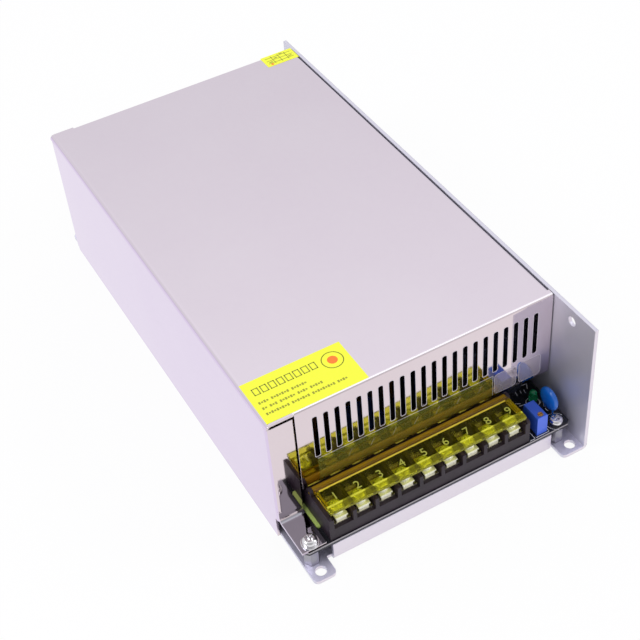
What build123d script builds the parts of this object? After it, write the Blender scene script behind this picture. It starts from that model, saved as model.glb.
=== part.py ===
# Enclosed switching power supply: aluminium tray with one full side wall, folded steel lid with a slotted
# front panel, board with a nine way terminal block under a hinged clear lid, and a fan behind the rear grille.
# Millimetres. X runs left to right, Y front to back, Z up; the origin is under the middle of the case.
from build123d import *
from math import atan, cos, degrees, radians, sin
import os

# Overall case
case_width = 125.0
case_length = 240.0
case_height = 65.0
front_apron = 24.7
rear_apron = 7.3

# Sheets
tray_sheet = 1.5
lid_sheet = 1.0
tray_bend = 0.6
lid_bend = 1.0
lid_sharp_bend = 0.3
sheet_gap = 0.1
lid_wall_gap = 0.3

# Tray lips and mounting ears
lip_setback = 6.4
lip_height = 9.2
lip_left_inset = 12.7
lip_right_inset = 13.0
ear_width_left = 10.5
ear_width_right = 11.5
ear_hole_setback = 3.9
ear_hole_inset = 5.5
ear_hole_diameter = 4.5
ear_corner_radius = 2.0
side_flange_height = 7.0
side_flange_setback = 8.0
wall_hole_setback = 13.4
wall_hole_drop = 5.5
wall_hole_diameter = 4.3
rear_lip_height = 12.0
rear_lip_width = 14.0
rear_lip_offset = 41.5

# Lid
panel_bottom = 23.7
panel_left = 11.3
flange_width = 10.5
flange_slit = 1.2
rear_panel_bottom = 1.8
lid_right_flange_drop = 13.0
corner_relief = 3.0
slot_count = 22
slot_width = 2.1
slot_bottom = 37.7
slot_top_drop = 6.0
slot_first_inset = 19.0
slot_last_inset = 9.5
slot_corner = 0.65
foot_length = 17.7
foot_bend = 2.0
lid_screw_drop = 6.5
lid_screw_spacing = 84.0
lid_screw_length = 4.5
rear_screw_length = 5.0

# Board and what holds it
board_thickness = 1.6
lip_to_board = 0.2
board_left_inset = 1.5
board_right_inset = 3.5
board_front_reach = 18.1
board_fan_gap = 6.0
board_corner = 1.5
film_thickness = 0.4
film_side_margin = 13.0
film_end_margin = 6.0
post_width = 5.5
post_fit = 0.05
post_bulk_gap = 2.3
post_front_reach = 14.6
foot_post_inset = 5.2
post_left_inset = 8.4
post_right_inset = 8.4
post_rear_margin = 8.0
screw_thread_diameter = 3.0
screw_fit = 0.05
board_screw_length = 6.0
pan_head_diameter = 5.8
pan_head_height = 2.1
washer_diameter = 7.2
washer_thickness = 0.6
pan_head_chamfer = 0.8

# Flat sides that small repeated round shapes are drawn with
head_sides = 10
thread_sides = 6
can_sides = 16
fan_sides = 32

# Terminal block
pole_pitch = 9.65
barrier_thickness = 1.6
block_end_extra = 0.5
block_left_inset = 12.3
block_trimmer_gap = 2.0
block_front_reach = 17.6
block_depth = 21.6
block_sill = 5.9
block_barrier_height = 13.2
block_end_height = 12.0
block_rear_wall = 3.5
barrier_front_setback = 2.3
barrier_nose_height = 11.0
contact_thickness = 0.8
contact_side_gap = 0.2
contact_front_setback = 1.4
contact_depth = 12.5
contact_pin_width = 2.0
contact_pin_thickness = 0.8
contact_pin_length = 3.4
pin_clearance = 0.1
terminal_thread_diameter = 3.9
terminal_screw_setback = 5.6
terminal_head_diameter = 6.0
terminal_head_height = 2.2
terminal_screw_length = 6.8
saddle_thickness = 0.8
saddle_width = 5.2
saddle_depth = 8.4
saddle_lip = 1.6
saddle_lift = 1.8
saddle_hole_clearance = 0.2

# Hinged clear lid over the terminals
hinge_barrel_diameter = 3.0
hinge_pin_diameter = 1.6
hinge_clearance = 0.05
hinge_reach = 2.6
hinge_height = 12.6
hinge_ear_thickness = 1.3
hinge_side_gap = 0.2
clear_thickness = 1.2
clear_top_height = 15.0
clear_front_reach = 16.9
clear_crest_reach = 5.8
clear_rim_height = 2.5
clear_side_rim_height = 1.5
clear_side_rim_thickness = 1.2

# Voltage trimmer, lamp and disc capacitor at the front right
trimmer_width = 4.8
trimmer_depth = 9.5
trimmer_height = 9.5
trimmer_right_inset = 19.0
trimmer_front_reach = 16.8
trimmer_foot = 0.4
trimmer_screw_diameter = 2.2
trimmer_screw_setback = 1.7
trimmer_screw_depth = 1.8
trimmer_screw_proud = 0.3
trimmer_slot_width = 0.5
trimmer_slot_depth = 0.6
lamp_diameter = 3.0
lamp_rim_diameter = 3.8
lamp_rim_height = 0.9
lamp_height = 4.8
lamp_lift = 2.2
lamp_right_inset = 9.8
lamp_sides = 10
lamp_reach = 1.4
disc_diameter = 10.4
disc_thickness = 3.4
disc_lift = 1.4
disc_right_inset = 7.0
disc_reach = 8.1
lead_width = 0.6

# Fan behind the rear grille
fan_depth = 25.0
fan_hole_inset = 5.0
fan_hole_diameter = 4.3
fan_screw_length = 9.0
fan_lift = 0.8
fan_top_gap = 1.7
fan_duct_wall = 1.25
fan_corner = 3.5
fan_flange = 3.6
fan_tip_clearance = 0.6
fan_hub_diameter = 26.0
fan_hub_wall = 1.4
fan_hub_length = 18.0
fan_hub_chamfer = 1.2
fan_blade_count = 7
fan_blade_thickness = 1.4
fan_blade_pitch = 38.0
fan_blade_chord = 17.0
fan_shaft_diameter = 3.0
fan_shaft_clearance = 0.04
fan_tube_diameter = 7.0
fan_mount_diameter = 26.0
fan_mount_thickness = 2.5
fan_strut_count = 4
fan_strut_width = 3.0
fan_rotor_gap = 1.2
stator_diameter = 20.0
stator_poles = 4
stator_length = 8.0
stator_shoe = 11.0
stator_rim = 1.6
grille_hub_radius = 6.5
grille_slot = 3.4
grille_rib = 1.7
grille_rings = 4
grille_bridge = 4.0

# Parts on the board
pin_row = 2.54
bulk_diameter = 30.0
bulk_top_gap = 5.0
bulk_count = 2
bulk_inset = 20.0
bulk_first = 94.0
bulk_pitch = 33.0
bulk_groove = 0.8
output_cap_diameter = 16.0
output_cap_height = 32.0
output_cap_rows = 3
output_cap_pitch = 19.0
output_cap_right_inset = 12.5
output_cap_gap = 1.5
output_cap_first = 15.0
can_rim = 0.6
core_side_gap = 6.6
core_top_gap = 9.5
core_depth = 21.0
core_leg_share = 0.18
core_centre_share = 0.35
core_place = 104.0
bobbin_wall = 1.5
bobbin_overhang = 12.0
bobbin_corner = 2.5
ring_outer_diameter = 38.0
ring_inner_diameter = 17.0
ring_height = 17.0
ring_turns = 20
ring_wire = 2.0
ring_opening = 12.0
ring_place = 47.0
choke_size = 24.0
choke_height = 28.0
choke_bar = 7.0
choke_stand = 2.0
choke_coil_wall = 4.5
choke_foot = 3.0
choke_inset = 20.0
choke_place = 34.0
film_cap_length = 26.0
film_cap_width = 10.0
film_cap_height = 18.0
film_cap_place = 52.0
relay_length = 19.0
relay_width = 15.5
relay_height = 15.0
relay_inset = 48.0
relay_place = 16.0
fuse_tube_diameter = 5.2
fuse_tube_length = 20.0
fuse_cap_length = 4.5
fuse_lift = 4.0
fuse_inset = 20.0
fuse_place = 12.0
clip_width = 4.0
clip_wall = 0.6
clip_rise = 2.4
thermistor_diameter = 13.0
thermistor_thickness = 5.0
thermistor_lift = 2.0
thermistor_inset = 36.5
thermistor_place = 13.0
sink_thickness = 3.0
sink_top_gap = 9.0
sink_rear_margin = 20.0
sink_fin_count = 5
sink_fin_reach = 7.0
sink_fin_thickness = 1.4
sink_inset = 43.0
sink_front = 72.0
package_width = 15.8
package_height = 20.6
package_thickness = 4.9
package_lift = 6.0
package_leg_width = 1.4
package_pitch = 20.8
pad_thickness = 0.3
pad_margin = 1.0
rectifier_front = 66.0
rectifier_rear_margin = 26.0
clamp_height = 9.0
clamp_thickness = 3.0
clamp_overhang = 8.0
clamp_corner = 1.5
bridge_width = 22.0
bridge_height = 18.0
bridge_thickness = 3.6
bridge_place = 66.0
control_width = 52.0
control_height = 34.0
control_place_share = 0.374
chip_length = 10.0
chip_width = 6.2
chip_height = 1.7
chip_count = 3
shunt_thickness = 0.6
shunt_width = 3.0
shunt_span = 12.0
shunt_height = 7.0
shunt_place = 14.0
socket_length = 7.5
socket_width = 5.8
socket_height = 6.0
socket_wall = 0.8
socket_floor = 2.0
socket_right_inset = 21.0
socket_rear_margin = 8.0

# Edges of the case worked out from the values above
left_face = -case_width / 2
right_face = case_width / 2
front_end = -case_length / 2
rear_end = case_length / 2
panel_face = front_end + front_apron
rear_face = rear_end - rear_apron
lid_length = rear_face - panel_face
lip_face = front_end + lip_setback
lid_right = right_face - tray_sheet - lid_wall_gap
board_bottom = lip_height + lip_to_board
board_top = board_bottom + board_thickness
fan_size = case_height - tray_sheet - fan_lift - fan_top_gap - lid_sheet
fan_hole_pitch = fan_size - 2 * fan_hole_inset
fan_bore_diameter = fan_size - 2 * fan_duct_wall
fan_back = rear_face - lid_sheet
fan_front = fan_back - fan_depth
fan_middle = tray_sheet + fan_lift + fan_size / 2
slot_height = case_height - slot_top_drop - slot_bottom
slot_pitch = (case_width - slot_first_inset - slot_last_inset) / (slot_count - 1)
board_left = left_face + board_left_inset
board_right = right_face - board_right_inset
board_front = panel_face - board_front_reach
board_rear = fan_front - board_fan_gap
trimmer_left = right_face - trimmer_right_inset
block_room = trimmer_left - block_trimmer_gap - left_face - block_left_inset
pole_count = int((block_room - barrier_thickness - 2 * block_end_extra) / pole_pitch)
block_half = pole_count * pole_pitch / 2 + barrier_thickness / 2 + block_end_extra
block_middle = left_face + block_left_inset + block_half
block_front = panel_face - block_front_reach
bay_floor = board_top + block_sill
terminal_screw_y = block_front + terminal_screw_setback
screw_hole_diameter = screw_thread_diameter + 0.4
lid_thread_hole = screw_thread_diameter + 2 * screw_fit
hinge_y = panel_face - hinge_reach
hinge_z = board_top + hinge_height

# Room inside the case for the parts on the board
lid_inside = case_height - lid_sheet
wall_inside = right_face - tray_sheet
bulk_height = lid_inside - bulk_top_gap - board_top
sink_height = lid_inside - sink_top_gap - board_top
sink_length = board_rear - sink_rear_margin - panel_face - sink_front
sink_face = left_face + sink_inset
sink_fin_end = sink_face + sink_thickness + sink_fin_reach
switch_count = int(sink_length / package_pitch)
rectifier_length = board_rear - rectifier_rear_margin - panel_face - rectifier_front
rectifier_count = int(rectifier_length / package_pitch)
rectifier_face = wall_inside - pad_thickness
clamp_face = rectifier_face - package_thickness - clamp_thickness
core_width = clamp_face - sink_fin_end - 2 * core_side_gap
core_middle = (clamp_face + sink_fin_end) / 2
core_height = lid_inside - core_top_gap - board_top - bobbin_wall
core_leg = core_width * core_leg_share
core_centre_leg = core_width * core_centre_share
core_window = (core_width - core_centre_leg) / 2 - core_leg
output_cap_step = output_cap_diameter + output_cap_gap
output_caps_left = right_face - output_cap_right_inset - output_cap_step - output_cap_diameter / 2
ring_middle = (left_face + choke_inset + film_cap_length / 2 + output_caps_left) / 2
shunt_middle = (left_face + relay_inset + relay_width / 2 + output_caps_left) / 2
choke_frame = choke_height - 2 * choke_stand
choke_middle = board_top + choke_height / 2
core_rear = panel_face + core_place + core_depth / 2 + bobbin_overhang
control_face = core_rear + (board_rear - core_rear) * control_place_share


def across(inset):
    return left_face + inset


def behind_panel(distance):
    return panel_face + distance


def slab(low, high):
    # A plain block between two opposite corners
    size = [b - a for a, b in zip(low, high)]
    middle = [(a + b) / 2 for a, b in zip(low, high)]
    return Pos(*middle) * Box(*size)


def disc(diameter, sides=0):
    # A circle, or the regular polygon in it where the shape is small and repeated
    return RegularPolygon(diameter / 2, sides) if sides else Circle(diameter / 2)


def upright(x, y, low, high, diameter, sides=0):
    return Pos(x, y, low) * extrude(disc(diameter, sides), high - low)


def along_x(low, high, y, z, diameter, sides=0):
    return Pos(low, y, z) * Rot(0, 90, 0) * extrude(disc(diameter, sides), high - low)


def along_y(low, high, x, z, diameter, sides=0):
    return Pos(x, low, z) * Rot(-90, 0, 0) * extrude(disc(diameter, sides), high - low)


def turned(levels, sides):
    # Stack of flat sided drums and cones up the Z axis, each level a height and a diameter
    layers = []
    for (low, first), (high, second) in zip(levels, levels[1:]):
        rise = high - low
        if rise > 0:
            step = abs(first - second) / 2 * cos(radians(180 / sides))
            start, way = (low, 1) if first >= second else (high, -1)
            drum = extrude(disc(max(first, second), sides), way * rise, taper=degrees(atan(step / rise)))
            layers.append(Pos(0, 0, start) * drum)
    return layers[0] + layers[1:]


def folded(points, thickness, inner_radii, plane, length):
    # A sheet folded along a polyline of its middle surface, extruded along the plane's normal
    radii = [r + thickness / 2 for r in inner_radii]
    if len(points) == 3:
        path = FilletPolyline(*points, radius=radii[0])
    else:
        path = FilletPolyline(*points, radius=radii)
    strip = trace(path, line_width=thickness)
    return extrude(plane * strip, length)


def side_plane(x):
    # Sketch x is world Y and sketch y is world Z; extruding goes to the right
    return Plane(origin=(x, 0, 0), x_dir=(0, 1, 0), z_dir=(1, 0, 0))


def front_plane(y):
    # Sketch x is world X and sketch y is world Z; extruding goes to the back
    return Plane(origin=(0, y, 0), x_dir=(-1, 0, 0), z_dir=(0, 1, 0))


def front_sketch(y):
    # Sketch x is world X and sketch y is world Z; extruding goes to the front
    return Plane(origin=(0, y, 0), x_dir=(1, 0, 0), z_dir=(0, -1, 0))


def save(node, *solids):
    shapes = []
    for solid in solids:
        shapes += solid.solids()
    whole = shapes[0] if len(shapes) == 1 else Compound(children=shapes)
    whole.label = node
    export_step(whole, os.path.join("parts", node + ".step"))


def post_places():
    # Three rows: at the lid's foot, just in front of the bulk capacitors, and by the fan
    front = panel_face - post_front_reach
    middle = behind_panel(bulk_first - bulk_diameter / 2 - post_bulk_gap)
    rear = board_rear - post_rear_margin
    places = []
    for left, y in ((foot_post_inset, front), (post_left_inset, middle), (post_left_inset, rear)):
        places += [(across(left), y), (right_face - post_right_inset, y)]
    return places


def lid_screw_places():
    middle = (panel_face + rear_face) / 2
    return [(middle + lid_screw_spacing * k, case_height - lid_screw_drop) for k in (-1, 0, 1)]


def rear_screw_places():
    return [(side * rear_lip_offset, rear_lip_height / 2 + tray_sheet / 2) for side in (-1, 1)]


def package_places(front, length, count):
    # Evenly spaced power packages along a length that starts behind the panel
    return [behind_panel(front) + length * (k + 0.5) / count for k in range(count)]


def switch_places():
    return package_places(sink_front, sink_length, switch_count)


def rectifier_places():
    return package_places(rectifier_front, rectifier_length, rectifier_count)


def clamp_screw_places():
    z = board_top + package_lift + package_height * 0.6
    first = behind_panel(rectifier_front)
    between = rectifier_count // 2 / rectifier_count
    return [(first + rectifier_length * k, z) for k in (0, between, 1)]


def countersunk(depth, grow=0.0):
    # Flat screw head with its face on the XY plane, pointing down
    head = screw_thread_diameter * 1.9 + 2 * grow
    shank = screw_thread_diameter + 2 * grow
    return turned([(-depth, shank), ((shank - head) / 2, shank), (0, head)], head_sides)


def pan_head(lift=0.0):
    head = Pos(0, 0, lift) * extrude(disc(pan_head_diameter, head_sides), pan_head_height)
    return chamfer(head.edges().group_by(Axis.Z)[-1], pan_head_chamfer)


def pan_screw(length, washer=False):
    # Head seated on the XY plane, thread pointing down
    lift = washer_thickness if washer else 0.0
    thread = screw_thread_diameter - 2 * screw_fit
    screw = pan_head(lift) + Pos(0, 0, -length) * extrude(disc(thread, thread_sides), length + lift + 0.2)
    if washer:
        screw += extrude(disc(washer_diameter, head_sides), washer_thickness)
    return screw


def tray():
    # One folded aluminium sheet: low left flange, floor, full right wall
    half = tray_sheet / 2
    left = left_face + lid_sheet + sheet_gap + half
    right = right_face - half
    path = [(left, side_flange_height), (left, half), (right, half), (right, case_height)]
    body = folded(path, tray_sheet, [tray_bend, tray_bend], front_sketch(rear_end), case_length)
    # The floor stops at the front lip and at the rear panel, except at the ears
    bend = tray_sheet + tray_bend
    left_ear = left_face + ear_width_left
    right_ear = right_face - ear_width_right
    body -= slab((left_ear, front_end, -1), (right_ear, lip_face + bend, bend))
    body -= slab((left_ear, rear_face - lid_sheet - sheet_gap - bend, -1), (right_ear, rear_end, bend))
    inner = left_face + lid_sheet + sheet_gap
    for low, high in (
        (front_end, panel_face + side_flange_setback),
        (rear_face - side_flange_setback, rear_end),
    ):
        body -= slab((inner - 1, low, tray_sheet), (inner + tray_sheet + tray_bend, high, side_flange_height + 1))
        body -= slab((inner - 1, low, -1), (inner + half, high, side_flange_height + 1))
        body += slab((inner, low, 0), (inner + bend, high, tray_sheet))
    # Front lip
    lip_length = case_width - lip_left_inset - lip_right_inset
    lip = [(lip_face + half, lip_height), (lip_face + half, half), (lip_face + bend + half, half)]
    body += folded(lip, tray_sheet, [tray_bend], side_plane(across(lip_left_inset)), lip_length)
    # Rear floor edge with two short lips that the lid's rear panel is screwed to
    back = rear_face - lid_sheet - sheet_gap
    body += slab((left_ear, back - bend - 1, 0), (right_ear, back - bend, tray_sheet))
    for side in (-1, 1):
        low = side * rear_lip_offset - rear_lip_width / 2
        rear_lip = [(back - half, rear_lip_height), (back - half, half), (back - bend - half, half)]
        body += folded(rear_lip, tray_sheet, [tray_bend], side_plane(low), rear_lip_width)
    return body


def tray_holes(body):
    for x in (across(ear_hole_inset), right_face - ear_hole_inset):
        for y in (front_end + ear_hole_setback, rear_end - ear_hole_setback):
            body -= upright(x, y, -1, tray_sheet + 1, ear_hole_diameter)
    for x, y in post_places():
        body -= Pos(x, y, -1) * extrude(post_outline(post_fit), tray_sheet + 2)
    hole_y = front_end + wall_hole_setback
    body -= along_x(right_face - tray_sheet - 1, right_face + 1, hole_y, case_height - wall_hole_drop, wall_hole_diameter)
    sink = countersunk(tray_sheet + 1, screw_fit)
    for y, z in lid_screw_places() + clamp_screw_places():
        body -= Pos(right_face, y, z) * Rot(0, 90, 0) * sink
    for x, z in rear_screw_places():
        body -= along_y(rear_face - rear_screw_length, rear_face, x, z, screw_thread_diameter, thread_sides)
    ears = body.edges().filter_by(Axis.Z)
    corners = ears.filter_by(lambda e: abs(abs(e.center().Y) - case_length / 2) < 0.01 and e.length < 3)
    return fillet(corners, ear_corner_radius)


def lid_panel(face, inward, bottom, left):
    # Front or rear wall of the lid, folded down from the top
    half = lid_sheet / 2
    near = face + inward * half
    far = face + inward * (corner_relief + 0.01)
    path = [(near, bottom), (near, case_height - half), (far, case_height - half)]
    return folded(path, lid_sheet, [lid_sharp_bend], side_plane(left), lid_right - left)


def lid_return(face, inward, bottom):
    # Narrow flange folded from the left wall, under the top sheet
    half = lid_sheet / 2
    near = face + inward * half
    far = face + inward * (corner_relief + 0.01)
    path = [(left_face + half, far), (left_face + half, near), (across(flange_width), near)]
    strip = trace(FilletPolyline(*path, radius=lid_bend + half), line_width=lid_sheet)
    top = case_height - lid_sheet - flange_slit
    return Pos(0, 0, bottom) * extrude(strip, top - bottom)


def vent_slots():
    middle = slot_bottom + slot_height / 2
    slot = chamfer(Rectangle(slot_width, slot_height).vertices(), slot_corner)
    slots = [Pos(across(slot_first_inset + k * slot_pitch), middle) * slot for k in range(slot_count)]
    return extrude(front_sketch(panel_face + 2) * Sketch(children=slots), 3)


def rear_grille():
    # Rings of curved slots with four bridges, in front of the fan
    rings = []
    for k in range(grille_rings):
        inner = 2 * (grille_hub_radius + k * (grille_slot + grille_rib))
        rings.append(disc(inner + 2 * grille_slot, can_sides) - disc(inner, can_sides))
    opening = Sketch(children=rings)
    outer = 2 * (grille_hub_radius + grille_rings * (grille_slot + grille_rib))
    for angle in (45, 135):
        opening -= Rot(0, 0, angle) * Rectangle(outer, grille_bridge)
    return extrude(front_sketch(rear_face + 1) * (Pos(0, fan_middle) * opening), 3)


def lid():
    half = lid_sheet / 2
    left = left_face + half
    right = lid_right - half
    top = case_height - half
    path = [(left, 0), (left, top), (right, top), (right, case_height - lid_right_flange_drop)]
    body = folded(path, lid_sheet, [lid_bend, lid_sharp_bend], front_sketch(rear_face), lid_length)
    wall_top = case_height - lid_sheet - lid_bend
    corner_open = case_height - lid_right_flange_drop - 1
    for face, inward, low in ((panel_face, 1, board_top), (rear_face, -1, rear_panel_bottom)):
        outer, inner = sorted((face - inward, face + inward * corner_relief))
        body -= slab((across(panel_left), outer, corner_open), (right_face, inner, case_height + 1))
        body -= slab((left_face - 1, outer, -1), (left_face + corner_relief, inner, wall_top))
        body += lid_return(face, inward, low)
        panel_low = panel_bottom if inward > 0 else rear_panel_bottom
        body += lid_panel(face, inward, panel_low, across(panel_left))
    # Screw foot folded forward from the front flange, on the board's corner
    foot = board_top + half
    tongue = [
        (panel_face + half, foot + foot_bend + 3),
        (panel_face + half, foot),
        (panel_face - foot_length, foot),
    ]
    bend_strip = slab(
        (left_face + lid_sheet + lid_bend, panel_face - 0.1, board_top - 0.1),
        (across(flange_width) + 0.1, panel_face + lid_sheet + 0.1, foot + foot_bend + 0.4),
    )
    body -= bend_strip
    body += folded(tongue, lid_sheet, [foot_bend], side_plane(left_face + 0.3), flange_width - 0.3)
    body -= vent_slots()
    body -= rear_grille()
    return body


def lid_holes(body):
    x, y = post_places()[0]
    body -= upright(x, y, board_top - 1, board_top + lid_sheet + 1, screw_hole_diameter, thread_sides)
    for y, z in lid_screw_places():
        body -= along_x(lid_right - lid_screw_length, lid_right + 1, y, z, lid_thread_hole, head_sides)
    for x, z in rear_screw_places():
        body -= along_y(rear_face - 2, rear_face + 1, x, z, screw_hole_diameter, thread_sides)
    for x, z in fan_hole_places():
        body -= along_y(rear_face - 2, rear_face + 1, x, z, fan_hole_diameter, thread_sides)
    return body


def fan_hole_places():
    reach = fan_hole_pitch / 2
    return [(i * reach, fan_middle + k * reach) for i in (-1, 1) for k in (-1, 1)]


def pole_centres():
    return [block_middle + pole_pitch * (k - (pole_count - 1) / 2) for k in range(pole_count)]


def board():
    middle = ((board_left + board_right) / 2, (board_front + board_rear) / 2)
    outline = chamfer(Rectangle(board_right - board_left, board_rear - board_front).vertices(), board_corner)
    body = Pos(*middle, board_bottom) * extrude(outline, board_thickness)
    for x, y in post_places():
        body -= upright(x, y, board_bottom - 1, board_top + 1, screw_hole_diameter, thread_sides)
    for x in pole_centres():
        body -= contact_pin(x, pin_clearance, 1)
    return body


def film():
    low = (board_left + film_side_margin, panel_face + film_end_margin, tray_sheet)
    high = (board_right - film_side_margin, board_rear - film_end_margin, tray_sheet + film_thickness)
    return slab(low, high)


def post_outline(grow=0.0):
    return RegularPolygon(post_width / 2 + grow, 6, major_radius=False)


def posts():
    # Hexagonal standoffs pressed through the floor, threaded from above
    solids = []
    for x, y in post_places():
        post = Pos(x, y, 0) * extrude(post_outline(), board_bottom)
        thread_end = board_bottom - board_screw_length
        solids.append(post - upright(x, y, thread_end, board_bottom, screw_thread_diameter, thread_sides))
    return solids


def board_screws():
    solids = []
    for k, (x, y) in enumerate(post_places()):
        if k == 0:
            solids.append(Pos(x, y, board_top + lid_sheet) * pan_screw(board_screw_length, washer=True))
        else:
            solids.append(Pos(x, y, board_top) * pan_screw(board_screw_length))
    return solids


def lid_screws():
    solids = []
    for y, z in lid_screw_places():
        solids.append(Pos(right_face, y, z) * Rot(0, 90, 0) * countersunk(lid_screw_length))
    return solids


def rear_screws():
    return [Pos(x, rear_face, z) * Rot(-90, 0, 0) * pan_screw(rear_screw_length) for x, z in rear_screw_places()]


def contact_pin(x, clearance=0.0, past=0.0):
    # Flat pin of one pole, from its contact plate down through the board
    wide = contact_pin_width / 2 + clearance
    thick = contact_pin_thickness / 2 + clearance
    y = block_front + block_depth - block_rear_wall - 2.2
    low = board_bottom - contact_pin_length + board_thickness - past
    return slab((x - wide, y - thick, low), (x + wide, y + thick, bay_floor + contact_thickness / 2))


def wall_outline(top_height, nose_height, setback):
    # Side view of a wall between the poles, from its front nose to the low back under the front panel
    back = block_front + block_depth
    top = board_top + top_height
    nose = board_top + nose_height
    crown_end = hinge_y - hinge_barrel_diameter / 2 - 1.6
    dip = hinge_z - hinge_barrel_diameter / 2 - 0.5
    points = [
        (block_front, board_top),
        (block_front, nose),
        (block_front + setback, nose),
        (block_front + setback, top),
        (crown_end, top),
        (crown_end + 1.2, dip),
        (back, dip),
        (back, board_top),
    ]
    return make_face(Polyline(*points, close=True))


def ear_outline():
    # Side view of the outer skin of an end wall, with the round hinge ear at its back
    back = block_front + block_depth
    top = board_top + block_end_height
    dip = hinge_z - hinge_barrel_diameter / 2 - 0.5
    ear = hinge_barrel_diameter / 2 + 0.4
    wall = Polyline(
        (block_front, board_top),
        (block_front, top - 0.6),
        (block_front + 0.6, top),
        (hinge_y, top),
        (hinge_y + ear, dip),
        (back, dip),
        (back, board_top),
        close=True,
    )
    return make_face(wall) + Pos(hinge_y, hinge_z) * disc(2 * ear, lamp_sides)


def terminal_block():
    low = block_middle - block_half
    high = block_middle + block_half
    back = block_front + block_depth
    rear_top = hinge_z - hinge_barrel_diameter / 2 - 0.5
    body = slab((low, block_front, board_top), (high, back, bay_floor))
    body += slab((low, back - block_rear_wall, board_top), (high, back, rear_top))
    outline = wall_outline(block_barrier_height, barrier_nose_height, barrier_front_setback)
    for k in range(1, pole_count):
        x = block_middle + pole_pitch * (k - pole_count / 2) - barrier_thickness / 2
        body += extrude(side_plane(x) * outline, barrier_thickness)
    end_wall = barrier_thickness + block_end_extra
    inner = wall_outline(block_end_height, barrier_nose_height, barrier_front_setback)
    outer = ear_outline()
    for x, ear_x in ((low, low), (high - end_wall, high - hinge_ear_thickness)):
        body += extrude(side_plane(x) * inner, end_wall)
        body += extrude(side_plane(ear_x) * outer, hinge_ear_thickness)
    body -= along_x(low - 1, high + 1, hinge_y, hinge_z, hinge_pin_diameter + 2 * hinge_clearance)
    for x in pole_centres():
        body -= contact_pin(x, pin_clearance, 1)
        hole = terminal_thread_diameter + 2 * pin_clearance
        body -= upright(x, terminal_screw_y, board_top + 1.2, bay_floor + 1, hole, thread_sides)
    return body


def contacts():
    solids = []
    half = (pole_pitch - barrier_thickness) / 2 - contact_side_gap
    for x in pole_centres():
        front = block_front + contact_front_setback
        plate = slab((x - half, front, bay_floor), (x + half, front + contact_depth, bay_floor + contact_thickness))
        hole = terminal_thread_diameter + 2 * screw_fit
        plate -= upright(x, terminal_screw_y, bay_floor - 1, bay_floor + 2, hole, thread_sides)
        plate += slab(
            (x - contact_pin_width / 2, front + contact_depth - 1, bay_floor),
            (x + contact_pin_width / 2, block_front + block_depth - block_rear_wall - 1.8, bay_floor + contact_thickness),
        )
        solids.append(plate + contact_pin(x))
    return solids


def saddle_height():
    return bay_floor + contact_thickness + saddle_lift


def saddles():
    # Square wire clamps under the screw heads, with the front edge bent down over the wire
    solids = []
    z = saddle_height()
    top = z + saddle_thickness
    front = terminal_screw_y - saddle_depth / 2
    lip_low = top - saddle_thickness / 2 - saddle_lip
    outline = Polyline(
        (front, lip_low),
        (front, top),
        (front + saddle_depth, top),
        (front + saddle_depth, z),
        (front + saddle_thickness, z),
        (front + saddle_thickness, lip_low),
        close=True,
    )
    hole = terminal_thread_diameter + 2 * saddle_hole_clearance
    for x in pole_centres():
        plate = extrude(side_plane(x - saddle_width / 2) * make_face(outline), saddle_width)
        solids.append(plate - upright(x, terminal_screw_y, z - 2, z + 2, hole, thread_sides))
    return solids


def terminal_screws():
    solids = []
    z = saddle_height() + saddle_thickness
    for x in pole_centres():
        low = z - terminal_screw_length
        screw = upright(x, terminal_screw_y, low, z + 0.2, terminal_thread_diameter, thread_sides)
        screw += upright(x, terminal_screw_y, z, z + terminal_head_height, terminal_head_diameter, head_sides)
        solids.append(screw)
    return solids


def clear_lid():
    # Moulded hinged lid: barrel at the back, raised crest, flat window and a rim along the front and sides
    reach = block_half - hinge_ear_thickness - hinge_side_gap
    low = block_middle - reach
    top = board_top + clear_top_height
    front = panel_face - clear_front_reach
    crest = panel_face - clear_crest_reach
    inner = top - clear_thickness
    barrel = hinge_barrel_diameter / 2
    outline = Polyline(
        (front, top - clear_rim_height - clear_thickness),
        (front, top - 0.4),
        (front + 0.4, top),
        (crest, top),
        (hinge_y, hinge_z + barrel),
        (hinge_y, hinge_z + barrel - clear_thickness),
        (crest - 0.4, inner),
        (front + clear_thickness, inner),
        (front + clear_thickness, top - clear_rim_height - clear_thickness),
        close=True,
    )
    body = extrude(side_plane(low) * make_face(outline), 2 * reach)
    body += along_x(low, low + 2 * reach, hinge_y, hinge_z, hinge_barrel_diameter)
    pin = hinge_ear_thickness + hinge_side_gap - 0.2
    body += along_x(low - pin, low + 2 * reach + pin, hinge_y, hinge_z, hinge_pin_diameter)
    rim_low = inner - clear_side_rim_height
    rim_back = crest + 0.4
    for x in (low, low + 2 * reach - clear_side_rim_thickness):
        rim_high = (x + clear_side_rim_thickness, rim_back, inner + 0.2)
        body += slab((x, front + 0.2, rim_low), rim_high)
    return body


def trimmer_centre():
    return trimmer_left + trimmer_width / 2, panel_face - trimmer_front_reach + trimmer_depth / 2


def trimmer_screw_place():
    x, y = trimmer_centre()
    return x, y - trimmer_depth / 2 + trimmer_screw_setback


def trimmer_case():
    x, y = trimmer_centre()
    case = Pos(x, y, board_top + trimmer_foot) * extrude(
        Rectangle(trimmer_width, trimmer_depth), trimmer_height - trimmer_foot
    )
    case = chamfer(case.edges().group_by(Axis.Z)[-1], 0.25)
    for k in (-1, 1):
        foot_y = y + k * (trimmer_depth / 2 - 0.6)
        case += slab(
            (x - trimmer_width / 2, foot_y - 0.6, board_top),
            (x + trimmer_width / 2, foot_y + 0.6, board_top + trimmer_foot + 0.1),
        )
    top = board_top + trimmer_height
    sx, sy = trimmer_screw_place()
    case -= upright(sx, sy, top - trimmer_screw_depth, top + 1, trimmer_screw_diameter + 2 * screw_fit)
    return case


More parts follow.
